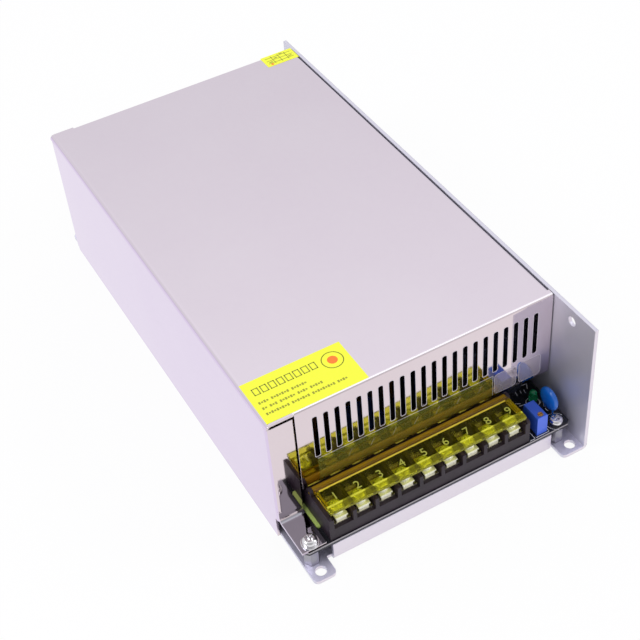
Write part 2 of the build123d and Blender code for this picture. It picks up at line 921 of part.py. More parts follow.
def trimmer_screw():
    top = board_top + trimmer_height + trimmer_screw_proud
    x, y = trimmer_screw_place()
    low = board_top + trimmer_height - trimmer_screw_depth + screw_fit
    screw = upright(x, y, low, top, trimmer_screw_diameter)
    slot = trimmer_slot_width / 2
    return screw - slab((x - 2, y - slot, top - trimmer_slot_depth), (x + 2, y + slot, top + 1))


def lamp():
    # Small round lamp with a rim and a domed top, on two leads
    x = right_face - lamp_right_inset
    y = panel_face - lamp_reach
    straight = lamp_height - lamp_diameter / 2
    levels = [
        (0, lamp_rim_diameter),
        (lamp_rim_height, lamp_rim_diameter),
        (lamp_rim_height, lamp_diameter),
        (straight, lamp_diameter),
        (straight + lamp_diameter * 0.3, lamp_diameter * 0.8),
        (lamp_height, lamp_diameter * 0.3),
    ]
    body = Pos(x, y, board_top + lamp_lift) * turned(levels, lamp_sides)
    for side in (-1, 1):
        body += lead(x, y + side * pin_row / 2, lamp_lift + 0.1)
    return body


def lead(x, y, height):
    return Pos(x, y, board_top) * extrude(Rectangle(lead_width, lead_width), height)


def disc_part(x, y, diameter, thickness, lift):
    # Dipped disc standing on edge across X, with two leads
    radius = diameter / 2
    edge = thickness * 0.28
    face = diameter - 2 * edge
    levels = [(0, face), (edge, diameter), (thickness - edge, diameter), (thickness, face)]
    body = Pos(x - thickness / 2, y, board_top + lift + radius) * Rot(0, 90, 0) * turned(levels, can_sides)
    for side in (-1, 1):
        body += lead(x, y + side * radius * 0.5, lift + radius * 0.4)
    return body


def disc_capacitor():
    return disc_part(right_face - disc_right_inset, panel_face - disc_reach, disc_diameter, disc_thickness, disc_lift)


def thermistor():
    x = across(thermistor_inset)
    return disc_part(x, behind_panel(thermistor_place), thermistor_diameter, thermistor_thickness, thermistor_lift)


def fan_frame():
    # Square flanges at both ends, round duct, struts and the bearing tube at the grille side
    square = chamfer(Rectangle(fan_size, fan_size).vertices(), fan_corner)
    plane = front_plane(fan_front) * Pos(0, fan_middle)
    body = extrude(plane * disc(fan_size, fan_sides), fan_depth)
    body += extrude(plane * square, fan_flange)
    body += extrude(front_plane(fan_back - fan_flange) * Pos(0, fan_middle) * square, fan_flange)
    body -= extrude(plane * disc(fan_bore_diameter, fan_sides), fan_depth)
    for x, z in fan_hole_places():
        body -= along_y(fan_front - 1, fan_back + 1, x, z, fan_hole_diameter, thread_sides)
    plate = fan_back - fan_mount_thickness
    centre = front_plane(plate) * Pos(0, fan_middle)
    spider = disc(fan_mount_diameter, can_sides)
    reach = fan_bore_diameter / 2 + fan_duct_wall / 2
    for k in range(fan_strut_count):
        spider += Rot(0, 0, 360 * k / fan_strut_count) * Pos(reach / 2, 0) * Rectangle(reach, fan_strut_width)
    body += extrude(centre * spider, fan_mount_thickness)
    tube_low = fan_front + fan_rotor_gap + fan_hub_wall + 2.0
    body += along_y(tube_low, plate + 1, 0, fan_middle, fan_tube_diameter, can_sides)
    shaft_hole = fan_shaft_diameter + 2 * fan_shaft_clearance
    body -= along_y(tube_low - 1, fan_back - 0.8, 0, fan_middle, shaft_hole)
    return body


def fan_hub():
    # Cup open to the back, with a chamfered front edge, and the shaft in its middle
    low = fan_front + fan_rotor_gap
    narrow = fan_hub_diameter - 2 * fan_hub_chamfer
    levels = [(0, narrow), (fan_hub_chamfer, fan_hub_diameter), (fan_hub_length, fan_hub_diameter)]
    hub = Pos(0, low, fan_middle) * Rot(-90, 0, 0) * turned(levels, can_sides)
    cup = fan_hub_diameter - 2 * fan_hub_wall
    hub -= along_y(low + fan_hub_wall, low + fan_hub_length + 1, 0, fan_middle, cup, can_sides)
    return hub + along_y(low + fan_hub_wall / 2, fan_back - 1.2, 0, fan_middle, fan_shaft_diameter)


def fan_rotor():
    # Hub with blades swept round it, each a slanted section cut off between hub and duct
    tip = fan_bore_diameter / 2 - fan_tip_clearance
    root = fan_hub_diameter / 2 - fan_hub_wall / 2
    run = fan_blade_chord * sin(radians(fan_blade_pitch))
    sweep = fan_blade_chord * cos(radians(fan_blade_pitch))
    chord = fan_front + fan_rotor_gap + 0.6 + run / 2
    half = fan_blade_thickness / 2
    section = Polyline(
        (-sweep / 2, -run / 2),
        (half * 1.6, -half),
        (sweep / 2, run / 2),
        (-half * 1.6, half),
        close=True,
    )
    # Sketch x turns round the hub and sketch y runs along the shaft; the blade reaches outwards
    blade = Rot(90, 0, 0) * extrude(Plane.XZ * make_face(section), -(tip + 6))
    outer = along_y(chord - run, chord + run, 0, fan_middle, 2 * tip)
    ring = outer - along_y(chord - run - 1, chord + run + 1, 0, fan_middle, 2 * root)
    rotor = fan_hub()
    for k in range(fan_blade_count):
        turn = Pos(0, chord, fan_middle) * Rot(0, 360 * k / fan_blade_count, 0)
        rotor += (turn * blade) & ring
    return rotor


def fan_stator():
    # Wound iron stack on the bearing tube, inside the hub cup
    low = fan_back - fan_mount_thickness - stator_length - 3
    iron = disc(fan_tube_diameter + 4.4, can_sides)
    rim = disc(stator_diameter, can_sides) - disc(stator_diameter - 2 * stator_rim, can_sides)
    for k in range(stator_poles):
        turn = Rot(0, 0, 45 + 360 * k / stator_poles)
        iron += turn * Pos(stator_diameter / 4, 0) * Rectangle(stator_diameter / 2 - stator_rim, 3.2)
        iron += rim & (turn * Pos(stator_diameter / 2, 0) * Rectangle(stator_diameter, stator_shoe))
    iron -= disc(fan_tube_diameter + 2 * screw_fit, can_sides)
    return extrude(front_plane(low) * Pos(0, fan_middle) * iron, stator_length)


def fan_screws():
    screws = []
    for x, z in fan_hole_places():
        head = Pos(x, rear_face, z) * Rot(-90, 0, 0) * pan_head()
        shank = fan_hole_diameter - 0.2
        low = rear_face - fan_screw_length
        screws.append(head + along_y(low, rear_face + 0.2, x, z, shank, thread_sides))
    return screws


def can(x, y, diameter, height, groove_depth):
    # Electrolytic can, with a rolled groove near its foot where a depth is given
    groove = diameter * 0.1
    levels = [(0, diameter)]
    if groove_depth:
        levels += [(groove, diameter), (groove + groove_depth, diameter - 2 * groove_depth)]
        levels += [(groove + 2 * groove_depth, diameter)]
    levels += [(height - can_rim, diameter), (height, diameter - 2 * can_rim)]
    return Pos(x, y, board_top) * turned(levels, can_sides)


def bulk_capacitors():
    places = [behind_panel(bulk_first + k * bulk_pitch) for k in range(bulk_count)]
    return [can(across(bulk_inset), y, bulk_diameter, bulk_height, bulk_groove) for y in places]


def output_capacitors():
    cans = []
    for row in range(output_cap_rows):
        y = behind_panel(output_cap_first + row * output_cap_pitch)
        for column in range(2):
            x = right_face - output_cap_right_inset - column * output_cap_step
            cans.append(can(x, y, output_cap_diameter, output_cap_height, 0))
    return cans


def transformer_core():
    # Two E shaped ferrite halves closed on each other, standing on the board
    y = behind_panel(core_place)
    outer = Rectangle(core_width, core_height)
    for side in (-1, 1):
        middle = side * (core_centre_leg + core_window) / 2
        outer -= Pos(middle, 0) * Rectangle(core_window, core_height - 2 * core_leg)
    lift = board_top + bobbin_wall + core_height / 2
    return extrude(front_sketch(y + core_depth / 2) * (Pos(core_middle, lift) * outer), core_depth)


def transformer_winding():
    # Taped winding on its bobbin round the centre leg, with the pin rail under it
    x = core_middle
    y = behind_panel(core_place)
    wide = core_centre_leg + 2 * core_window - 0.6
    deep = core_depth + 2 * bobbin_overhang
    middle = board_top + bobbin_wall + core_height / 2
    tall = core_height - 2 * core_leg - 0.4
    shape = chamfer(Rectangle(wide, deep).vertices(), bobbin_corner)
    shape -= Rectangle(core_centre_leg + 0.4, core_depth + 0.4)
    body = Pos(x, y, middle - tall / 2) * extrude(shape, tall)
    for side in (-1, 1):
        near, far = sorted((y + side * (core_depth / 2 + 0.6), y + side * (deep / 2 - 0.6)))
        body += slab((x - wide / 2 + 2, near, board_top), (x + wide / 2 - 2, far, middle - tall / 2 + 0.5))
    return body


def ring_core():
    shape = disc(ring_outer_diameter - 2 * ring_wire, can_sides) - disc(ring_inner_diameter + 2 * ring_wire, can_sides)
    return Pos(ring_middle, behind_panel(ring_place), board_top + ring_wire) * extrude(shape, ring_height - 2 * ring_wire)


def ring_winding():
    # Turns side by side round the ring core, open where the two leads leave
    outer = ring_outer_diameter - 1.0
    shape = disc(outer, can_sides) - disc(ring_inner_diameter, can_sides)
    for k in range(ring_turns):
        shape += Rot(0, 0, 360 * k / ring_turns) * Pos(outer / 2 - 0.4, 0) * RegularPolygon(ring_wire / 2, 4)
    body = extrude(shape, ring_height)
    fit = 0.2
    hollow = disc(ring_outer_diameter - 2 * ring_wire + fit, can_sides)
    hollow -= disc(ring_inner_diameter + 2 * ring_wire - fit, can_sides)
    body -= Pos(0, 0, ring_wire - fit / 2) * extrude(hollow, ring_height - 2 * ring_wire + fit)
    body -= Pos(0, -outer / 2, -1) * extrude(Rectangle(ring_opening, outer / 2), ring_height + 2)
    return Pos(ring_middle, behind_panel(ring_place), board_top) * body


def line_choke():
    # Square ferrite frame of the input filter
    y = behind_panel(choke_place)
    frame = Rectangle(choke_size, choke_frame) - Rectangle(choke_size - 2 * choke_bar, choke_frame - 2 * choke_bar)
    place = Pos(across(choke_inset), choke_middle)
    return extrude(front_sketch(y + choke_bar / 2) * (place * frame), choke_bar)


def line_choke_coils():
    y = behind_panel(choke_place)
    tall = choke_frame - 2 * choke_bar - 0.6
    low = choke_middle - tall / 2
    coils = []
    for side in (-1, 1):
        leg = across(choke_inset) + side * (choke_size - choke_bar) / 2
        outline = Rectangle(choke_size - choke_bar - 0.8, choke_bar + 2 * choke_coil_wall)
        shape = chamfer(outline.vertices(), choke_coil_wall / 3) - Rectangle(choke_bar + 0.4, choke_bar + 0.4)
        coil = Pos(leg, y, low) * extrude(shape, tall)
        for end in (-1, 1):
            edge = choke_bar / 2 + 0.6
            near, far = sorted((y + end * edge, y + end * (edge + choke_foot)))
            coil += slab((leg - choke_foot, near, board_top), (leg + choke_foot, far, low + 0.5))
        coils.append(coil)
    return coils


def film_capacitor():
    x = across(choke_inset)
    y = behind_panel(film_cap_place)
    body = Pos(x, y, board_top) * extrude(Rectangle(film_cap_length, film_cap_width), film_cap_height)
    return chamfer(body.edges().group_by(Axis.Z)[-1], 0.6)


def relay():
    x = across(relay_inset)
    y = behind_panel(relay_place)
    body = Pos(x, y, board_top) * extrude(Rectangle(relay_width, relay_length), relay_height)
    return chamfer(body.edges().group_by(Axis.Z)[-1], 0.5)


def fuse():
    x = across(fuse_inset)
    y = behind_panel(fuse_place)
    z = board_top + fuse_lift
    half = fuse_tube_length / 2
    body = along_x(x - half, x + half, y, z, fuse_tube_diameter - 0.6, can_sides)
    for side in (-1, 1):
        low, high = sorted((x + side * half, x + side * (half - fuse_cap_length)))
        body += along_x(low, high, y, z, fuse_tube_diameter, can_sides)
    return body


def fuse_clips():
    # Sprung clips: a folded U under each end cap
    y = behind_panel(fuse_place)
    z = board_top + fuse_lift
    inner = fuse_tube_diameter / 2
    outline = Polyline(
        (y - inner - clip_wall, z + clip_rise),
        (y - inner - clip_wall, board_top),
        (y + inner + clip_wall, board_top),
        (y + inner + clip_wall, z + clip_rise),
        (y + inner, z + clip_rise),
        (y + inner, board_top + clip_wall),
        (y - inner, board_top + clip_wall),
        (y - inner, z + clip_rise),
        close=True,
    )
    clips = []
    for side in (-1, 1):
        middle = across(fuse_inset) + side * (fuse_tube_length - fuse_cap_length) / 2
        clips.append(extrude(side_plane(middle - clip_width / 2) * make_face(outline), clip_width))
    return clips


def heat_sink():
    # Extruded plate with fins on the side away from the transistors
    low = behind_panel(sink_front)
    middle = low + sink_length / 2
    profile = Pos(sink_face + sink_thickness / 2, middle) * Rectangle(sink_thickness, sink_length)
    pitch = (sink_length - sink_fin_thickness) / (sink_fin_count - 1)
    for k in range(sink_fin_count):
        fin_y = low + sink_fin_thickness / 2 + k * pitch
        fin_x = sink_face + sink_thickness + sink_fin_reach / 2
        profile += Pos(fin_x, fin_y) * Rectangle(sink_fin_reach, sink_fin_thickness)
    return Pos(0, 0, board_top) * extrude(profile, sink_height)


def package(face, y, out):
    # Flat power package with its tab face at x = face and its body on the side given by out
    z = board_top + package_lift
    near, far = sorted((face, face + out * package_thickness))
    body = slab((near, y - package_width / 2, z), (far, y + package_width / 2, z + package_height))
    body = chamfer(body.edges().filter_by(Axis.Y).sort_by(Axis.Z)[-2:], 0.6)
    leg_x = face + out * package_thickness / 2
    for k in (-1, 0, 1):
        leg_y = y + k * 2 * pin_row
        half = package_leg_width / 2
        body += slab((leg_x - 0.3, leg_y - half, board_top), (leg_x + 0.3, leg_y + half, z + 0.1))
    return body


def switch_transistors():
    return [package(sink_face - pad_thickness, y, -1) for y in switch_places()]


def rectifiers():
    return [package(rectifier_face, y, -1) for y in rectifier_places()]


def insulating_pads():
    pads = []
    z = board_top + package_lift - pad_margin
    tall = package_height + 2 * pad_margin
    half = package_width / 2 + pad_margin
    for face, places in ((wall_inside, rectifier_places()), (sink_face, switch_places())):
        for y in places:
            pads.append(slab((face - pad_thickness, y - half, z), (face, y + half, z + tall)))
    return pads


def clamp_bar():
    # Steel bar that presses the rectifiers on the side wall
    middle = clamp_screw_places()[0][1]
    first = clamp_screw_places()[0][0]
    last = clamp_screw_places()[-1][0]
    low = (clamp_face, first - clamp_overhang / 2, middle - clamp_height / 2)
    high = (clamp_face + clamp_thickness, last + clamp_overhang / 2, middle + clamp_height / 2)
    bar = chamfer(slab(low, high).edges().filter_by(Axis.X), clamp_corner)
    for y, z in clamp_screw_places():
        bar -= along_x(low[0] - 1, high[0] + 1, y, z, lid_thread_hole, head_sides)
    return bar


def clamp_screws():
    reach = right_face - clamp_face
    return [Pos(right_face, y, z) * Rot(0, 90, 0) * countersunk(reach) for y, z in clamp_screw_places()]


def bridge_rectifier():
    x = across(bulk_inset)
    y = behind_panel(bridge_place)
    z = board_top + 3
    body = slab(
        (x - bridge_width / 2, y - bridge_thickness / 2, z),
        (x + bridge_width / 2, y + bridge_thickness / 2, z + bridge_height),
    )
    body -= along_y(y - bridge_thickness, y + bridge_thickness, x, z + bridge_height - 4, 3.2, head_sides)
    for k in range(4):
        leg = x + (k - 1.5) * 2 * pin_row
        body += slab((leg - 0.5, y - 0.3, board_top), (leg + 0.5, y + 0.3, z + 0.1))
    return body


def control_board():
    low = (core_middle - control_width / 2, control_face, board_top)
    high = (core_middle + control_width / 2, control_face + board_thickness, board_top + control_height)
    return slab(low, high)


def control_chips():
    chips = []
    z = board_top + control_height * 0.55
    for k in range(chip_count):
        x = core_middle + (k - (chip_count - 1) / 2) * control_width / chip_count
        low = (x - chip_length / 2, control_face - chip_height, z - chip_width / 2)
        chips.append(slab(low, (x + chip_length / 2, control_face, z + chip_width / 2)))
    return chips


def current_shunt():
    # Bent resistance strip standing on the board
    y = behind_panel(shunt_place)
    outer = shunt_span + shunt_thickness
    inner = shunt_span - shunt_thickness
    strip = Rectangle(outer, shunt_height) - Pos(0, -shunt_thickness) * Rectangle(inner, shunt_height)
    place = Pos(shunt_middle, board_top + shunt_height / 2)
    return extrude(front_sketch(y + shunt_width / 2) * (place * strip), shunt_width)


def fan_socket():
    x = right_face - socket_right_inset
    y = board_rear - socket_rear_margin
    body = Pos(x, y, board_top) * extrude(Rectangle(socket_length, socket_width), socket_height)
    inner = Rectangle(socket_length - 2 * socket_wall, socket_width - 2 * socket_wall)
    body -= Pos(x, y, board_top + socket_floor) * extrude(inner, socket_height)
    for side in (-1, 1):
        body += lead(x + side * pin_row / 2, y, socket_height - 1)
    return body


os.makedirs("parts", exist_ok=True)
save("chassis_tray", tray_holes(tray()))
save("case_lid", lid_holes(lid()))
save("circuit_board", board())
save("insulating_film", film())
save("board_posts", *posts())
save("board_screws", *board_screws())
save("lid_screws", *lid_screws())
save("rear_screws", *rear_screws())
save("terminal_block", terminal_block())
save("terminal_contacts", *contacts())
save("wire_clamps", *saddles())
save("terminal_screws", *terminal_screws())
save("terminal_lid", clear_lid())
save("trimmer_case", trimmer_case())
save("trimmer_screw", trimmer_screw())
save("status_lamp", lamp())
save("disc_capacitor", disc_capacitor())
save("thermistor", thermistor())
save("fan_frame", fan_frame())
save("fan_rotor", fan_rotor())
save("fan_stator", fan_stator())
save("fan_screws", *fan_screws())
save("bulk_capacitors", *bulk_capacitors())
save("output_capacitors", *output_capacitors())
save("transformer_core", transformer_core())
save("transformer_winding", transformer_winding())
save("ring_core", ring_core())
save("ring_winding", ring_winding())
save("line_choke_core", line_choke())
save("line_choke_coils", *line_choke_coils())
save("film_capacitor", film_capacitor())
save("relay", relay())
save("fuse", fuse())
save("fuse_clips", *fuse_clips())
save("heat_sink", heat_sink())
save("switch_transistors", *switch_transistors())
save("rectifiers", *rectifiers())
save("insulating_pads", *insulating_pads())
save("clamp_bar", clamp_bar())
save("clamp_screws", *clamp_screws())
save("bridge_rectifier", bridge_rectifier())
save("control_board", control_board())
save("control_chips", *control_chips())
save("current_shunt", current_shunt())
save("fan_socket", fan_socket())
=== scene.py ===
import math

import bmesh
import bpy
from mathutils import Matrix, Vector


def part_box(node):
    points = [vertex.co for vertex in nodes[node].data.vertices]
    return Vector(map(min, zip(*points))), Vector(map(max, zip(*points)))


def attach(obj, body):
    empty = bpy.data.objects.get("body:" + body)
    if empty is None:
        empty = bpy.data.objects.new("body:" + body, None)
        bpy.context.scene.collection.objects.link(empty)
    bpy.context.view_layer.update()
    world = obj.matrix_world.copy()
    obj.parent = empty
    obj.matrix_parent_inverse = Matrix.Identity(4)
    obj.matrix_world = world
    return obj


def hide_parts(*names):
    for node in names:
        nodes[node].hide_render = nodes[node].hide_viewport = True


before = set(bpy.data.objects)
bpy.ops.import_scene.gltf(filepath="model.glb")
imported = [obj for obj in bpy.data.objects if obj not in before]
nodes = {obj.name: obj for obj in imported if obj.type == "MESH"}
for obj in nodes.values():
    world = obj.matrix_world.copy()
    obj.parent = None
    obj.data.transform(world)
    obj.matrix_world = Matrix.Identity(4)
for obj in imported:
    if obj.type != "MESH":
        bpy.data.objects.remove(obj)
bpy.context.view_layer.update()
mm = 0.001
still = Matrix.Identity(4)
sideways = Matrix(((0, 0, 1, 0), (1, 0, 0, 0), (0, 1, 0, 0), (0, 0, 0, 1)))  # outlines drawn from the side


# Node maths written as plain expressions

def connect(tree, part, socket):
    if isinstance(part, Value):
        tree.links.new(part.socket, socket)
    else:
        socket.default_value = part


class Value:
    # One output of a node; a sum, product or comparison with it adds the Math node
    def __init__(self, tree, socket):
        self.tree = tree
        self.socket = socket

    def maths(self, operation, *parts):
        node = self.tree.nodes.new("ShaderNodeMath")
        node.operation = operation
        for part, socket in zip(parts, node.inputs):
            connect(self.tree, part, socket)
        return Value(self.tree, node.outputs[0])

    def __add__(self, other):
        return self.maths("ADD", self, other)

    def __radd__(self, other):
        return self.maths("ADD", other, self)

    def __sub__(self, other):
        return self.maths("SUBTRACT", self, other)

    def __rsub__(self, other):
        return self.maths("SUBTRACT", other, self)

    def __mul__(self, other):
        return self.maths("MULTIPLY", self, other)

    def __rmul__(self, other):
        return self.maths("MULTIPLY", other, self)

    def __gt__(self, other):
        return self.maths("GREATER_THAN", self, other)

    def __lt__(self, other):
        return self.maths("LESS_THAN", self, other)

    def size(self):
        return self.maths("ABSOLUTE", self)

    def most(self, other):
        return self.maths("MAXIMUM", self, other)


class Nodes:
    # A tree whose nodes come from one method
    def __init__(self, tree):
        self.tree = tree

    def node(self, kind, inputs=None, output=0, **settings):
        made = self.tree.nodes.new(kind)
        for key, value in settings.items():
            setattr(made, key, value)
        for key, part in (inputs or {}).items():
            connect(self.tree, part, made.inputs[key])
        if len(made.outputs):
            return Value(self.tree, made.outputs[output])

    def part(self, vector, axis):
        return self.node("ShaderNodeSeparateXYZ", {"Vector": vector}, output=axis)

    def between(self, value, low, high, start=0.0, end=1.0, **settings):
        limits = {"Value": value, "From Min": low, "From Max": high, "To Min": start, "To Max": end}
        return self.node("ShaderNodeMapRange", limits, **settings)

    def ray(self, name):
        return self.node("ShaderNodeLightPath", output=f"Is {name} Ray")

    def seenRays(self):
        return self.ray("Camera").most(self.ray("Glossy")).most(self.ray("Transmission"))


class Finish(Nodes):
    # A material being built around one Principled shader, in object coordinates
    def __init__(self, name, colour, roughness, metallic=0.0, **fixed):
        self.material = bpy.data.materials.new(name)
        self.material.use_nodes = True
        super().__init__(self.material.node_tree)
        self.shader = self.tree.nodes["Principled BSDF"]
        self.place = self.node("ShaderNodeTexCoord", output="Object")
        self.facing = Value(self.tree, self.place.socket.node.outputs["Normal"])
        self.shader.inputs["Base Color"].default_value = (*colour, 1)
        self.shader.inputs["Roughness"].default_value = roughness
        self.shader.inputs["Metallic"].default_value = metallic
        for key, value in fixed.items():
            self.shader.inputs[key.replace("_", " ")].default_value = value

    def put(self, socket, part):
        connect(self.tree, part, self.shader.inputs[socket])

    def grain(self, size, detail=3.0, stretch=(1, 1, 1)):
        # Noise with features about that many millimetres across
        place = self.node("ShaderNodeVectorMath", {0: self.place, 1: stretch}, operation="MULTIPLY")
        settings = {"Vector": place, "Scale": 1 / (size * mm), "Detail": detail}
        return self.node("ShaderNodeTexNoise", settings)

    def blend(self, factor, first, second):
        first, second = ((*part, 1) if isinstance(part, tuple) else part for part in (first, second))
        return self.node("ShaderNodeMix", {0: factor, 6: first, 7: second}, 2, data_type="RGBA")

    def shades(self, factor, first, second):
        self.put("Base Color", self.blend(factor, first, second))

    def wear(self, factor, roughness, less, more):
        self.put("Roughness", self.between(factor, 0.3, 0.7, less, more) + roughness)

    def surface(self, height, depth, edge=0.0):
        # Bump of that depth in millimetres, over edges rounded by that radius
        inputs = {"Height": height, "Distance": depth * mm, "Strength": 1.0}
        if edge:
            inputs["Normal"] = self.node("ShaderNodeBevel", {"Radius": edge * mm}, samples=4)
        self.put("Normal", self.node("ShaderNodeBump", inputs))

    def mix(self, factor, second):
        # The shader, giving way to a second one by the factor
        output = next(n for n in self.tree.nodes if n.type == "OUTPUT_MATERIAL")
        first = Value(self.tree, self.shader.outputs[0])
        mixed = self.node("ShaderNodeMixShader", {0: factor, 1: first, 2: second})
        self.tree.links.new(mixed.socket, output.inputs["Surface"])


# Solids made in millimetres and left as one mesh in metres

class Shape:
    def __init__(self):
        self.mesh = bmesh.new()

    def box(self, low, high, bevel=0.0):
        made = bmesh.ops.create_cube(self.mesh, size=1)["verts"]
        size = [b - a for a, b in zip(low, high)]
        middle = [(a + b) / 2 for a, b in zip(low, high)]
        for vertex in made:
            vertex.co = Vector([m + c * s for m, c, s in zip(middle, vertex.co, size)])
        if bevel:
            edges = list(dict.fromkeys(edge for vertex in made for edge in vertex.link_edges))
            bmesh.ops.bevel(self.mesh, geom=edges, offset=bevel, segments=2, affect="EDGES", profile=0.7)
        return self

    def lathe(self, profile, place=still, segments=48):
        # Profile of radius and height pairs, from the bottom up, turned about Z and closed at both ends
        rings = []
        for radius, height in profile:
            ring = []
            for k in range(segments):
                turn = 2 * math.pi * k / segments
                point = place @ Vector((radius * math.cos(turn), radius * math.sin(turn), height))
                ring.append(self.mesh.verts.new(point))
            rings.append(ring)
        for lower, upper in zip(rings, rings[1:]):
            for k in range(segments):
                n = (k + 1) % segments
                self.mesh.faces.new((lower[k], lower[n], upper[n], upper[k]))
        self.mesh.faces.new(list(reversed(rings[0])))
        self.mesh.faces.new(rings[-1])
        return self

    def prism(self, outline, low, high, place=still):
        # Outline of x and y pairs, anticlockwise, between two heights
        bottom = [self.mesh.verts.new(place @ Vector((x, y, low))) for x, y in outline]
        top = [self.mesh.verts.new(place @ Vector((x, y, high))) for x, y in outline]
        count = len(outline)
        for k in range(count):
            n = (k + 1) % count
            self.mesh.faces.new((bottom[k], bottom[n], top[n], top[k]))
        self.mesh.faces.new(list(reversed(bottom)))
        self.mesh.faces.new(top)
        return self

    def line(self, points, width, low, high, place=still):
        # Printed line along x and y pairs
        half = width / 2
        for (ax, ay), (bx, by) in zip(points, points[1:]):
            length = math.hypot(bx - ax, by - ay)
            along = Matrix.Rotation(math.atan2(by - ay, bx - ax), 4, "Z")
            outline = [(-half, -half), (length + half, -half), (length + half, half), (-half, half)]
            self.prism(outline, low, high, place @ Matrix.Translation((ax, ay, 0)) @ along)
        return self

    def done(self, name):
        mesh = bpy.data.meshes.new(name)
        bmesh.ops.recalc_face_normals(self.mesh, faces=self.mesh.faces)
        bmesh.ops.scale(self.mesh, vec=(mm, mm, mm), verts=self.mesh.verts)
        self.mesh.to_mesh(mesh)
        self.mesh.free()
        return shown(name, mesh)


def shown(name, data):
    made = bpy.data.objects.new(name, data)
    bpy.context.scene.collection.objects.link(made)
    return made


def evaluated(piece):
    return piece.evaluated_get(bpy.context.evaluated_depsgraph_get())


def smooth(piece, angle=35):
    # Shades the piece smooth except over edges sharper than the angle
    for face in piece.data.polygons:
        face.use_smooth = True
    edges = bmesh.new()
    edges.from_mesh(piece.data)
    for edge in edges.edges:
        sharp = len(edge.link_faces) != 2 or edge.calc_face_angle() > math.radians(angle)
        edge.smooth = not sharp
    edges.to_mesh(piece.data)
    edges.free()
    return piece


def dress(piece, finish, body="case", instead=()):
    piece.data.materials.clear()
    piece.data.materials.append(finish)
    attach(piece, body)
    if instead:
        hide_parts(*instead)
    return piece


def corners(node):
    low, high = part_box(node)
    return [v / mm for v in low], [v / mm for v in high]


def arc(x, y, radius, start, end, count=24):
    turns = [math.radians(start + (end - start) * k / count) for k in range(count + 1)]
    return [(x + radius * math.cos(t), y + radius * math.sin(t)) for t in turns]


def roundedBox(x, y, halfWidth, halfHeight, corner, radius, count):
    # Outline with a quarter circle at each corner; the radius may differ from the corner's inset
    outline = []
    for right, up, start in ((1, 1, 0), (-1, 1, 90), (-1, -1, 180), (1, -1, 270)):
        middle = x + right * (halfWidth - corner), y + up * (halfHeight - corner)
        outline += arc(*middle, radius, start, start + 90, count)
    return outline


# Copies of a small piece on points, by geometry nodes

copyInputs = {
    "Points": "Geometry",
    "Piece": "Object",
    "Turn": "Vector",
    "Spread": "Float",
    "Seed": "Int",
    "Finish": "Material",
}


def copiesTree():
    tree = bpy.data.node_groups.new("copiesOnPoints", "GeometryNodeTree")
    for name, kind in copyInputs.items():
        tree.interface.new_socket(name, in_out="INPUT", socket_type="NodeSocket" + kind)
    tree.interface.new_socket("Copies", in_out="OUTPUT", socket_type="NodeSocketGeometry")
    work = Nodes(tree)
    given = {name: work.node("NodeGroupInput", output=name) for name in copyInputs}

    def rotation(angles):
        return work.node("FunctionNodeEulerToRotation", {"Euler": angles})

    piece = work.node("GeometryNodeObjectInfo", {"Object": given["Piece"]}, output="Geometry")
    onPoints = {"Points": given["Points"], "Instance": piece, "Rotation": rotation(given["Turn"])}
    placed = work.node("GeometryNodeInstanceOnPoints", onPoints)
    limits = {2: given["Spread"] * -1, 3: given["Spread"], "Seed": given["Seed"]}
    spin = work.node("FunctionNodeRandomValue", limits, output=1, data_type="FLOAT")
    about = rotation(work.node("ShaderNodeCombineXYZ", {"Z": spin}))
    turned = work.node("GeometryNodeRotateInstances", {"Instances": placed, "Rotation": about})
    real = work.node("GeometryNodeRealizeInstances", {0: turned})
    painted = work.node("GeometryNodeSetMaterial", {"Geometry": real, "Material": given["Finish"]})
    work.node("NodeGroupOutput", {0: painted})
    return tree


copies = copiesTree()


def repeat(name, piece, places, finish, turn=(0, 0, 0), spread=0.0, seed=1):
    # The piece is modelled at the origin; places are in millimetres
    points = bpy.data.meshes.new(name + "Points")
    points.from_pydata([[v * mm for v in place] for place in places], [], [])
    holder = shown(name + "Points", points)
    modifier = holder.modifiers.new("copies", "NODES")
    modifier.node_group = copies
    settings = {"Piece": piece, "Turn": turn, "Spread": spread, "Seed": seed, "Finish": finish}
    for item in copies.interface.items_tree:
        if item.in_out == "INPUT" and item.name in settings:
            modifier[item.identifier] = settings[item.name]
    mesh = bpy.data.meshes.new_from_object(evaluated(holder))
    mesh.name = name
    bpy.data.objects.remove(holder)
    bpy.data.objects.remove(piece)
    return shown(name, mesh)


# Places shared by the pieces, in millimetres

layout = dict(panelBack=17.7, poles=9, pitch=9.65)
lidLow, lidHigh = corners("case_lid")
coverLow, coverHigh = corners("terminal_lid")
blockLow, blockHigh = corners("terminal_block")
boardTop = corners("circuit_board")[1][2]
panelY = lidLow[1] + layout["panelBack"]
left, backY, top = lidLow[0], lidHigh[1], lidHigh[2]
firstPole = (blockLow[0] + blockHigh[0]) / 2 - layout["pitch"] * (layout["poles"] - 1) / 2
poles = [firstPole + layout["pitch"] * k for k in range(layout["poles"])]


# Finishes

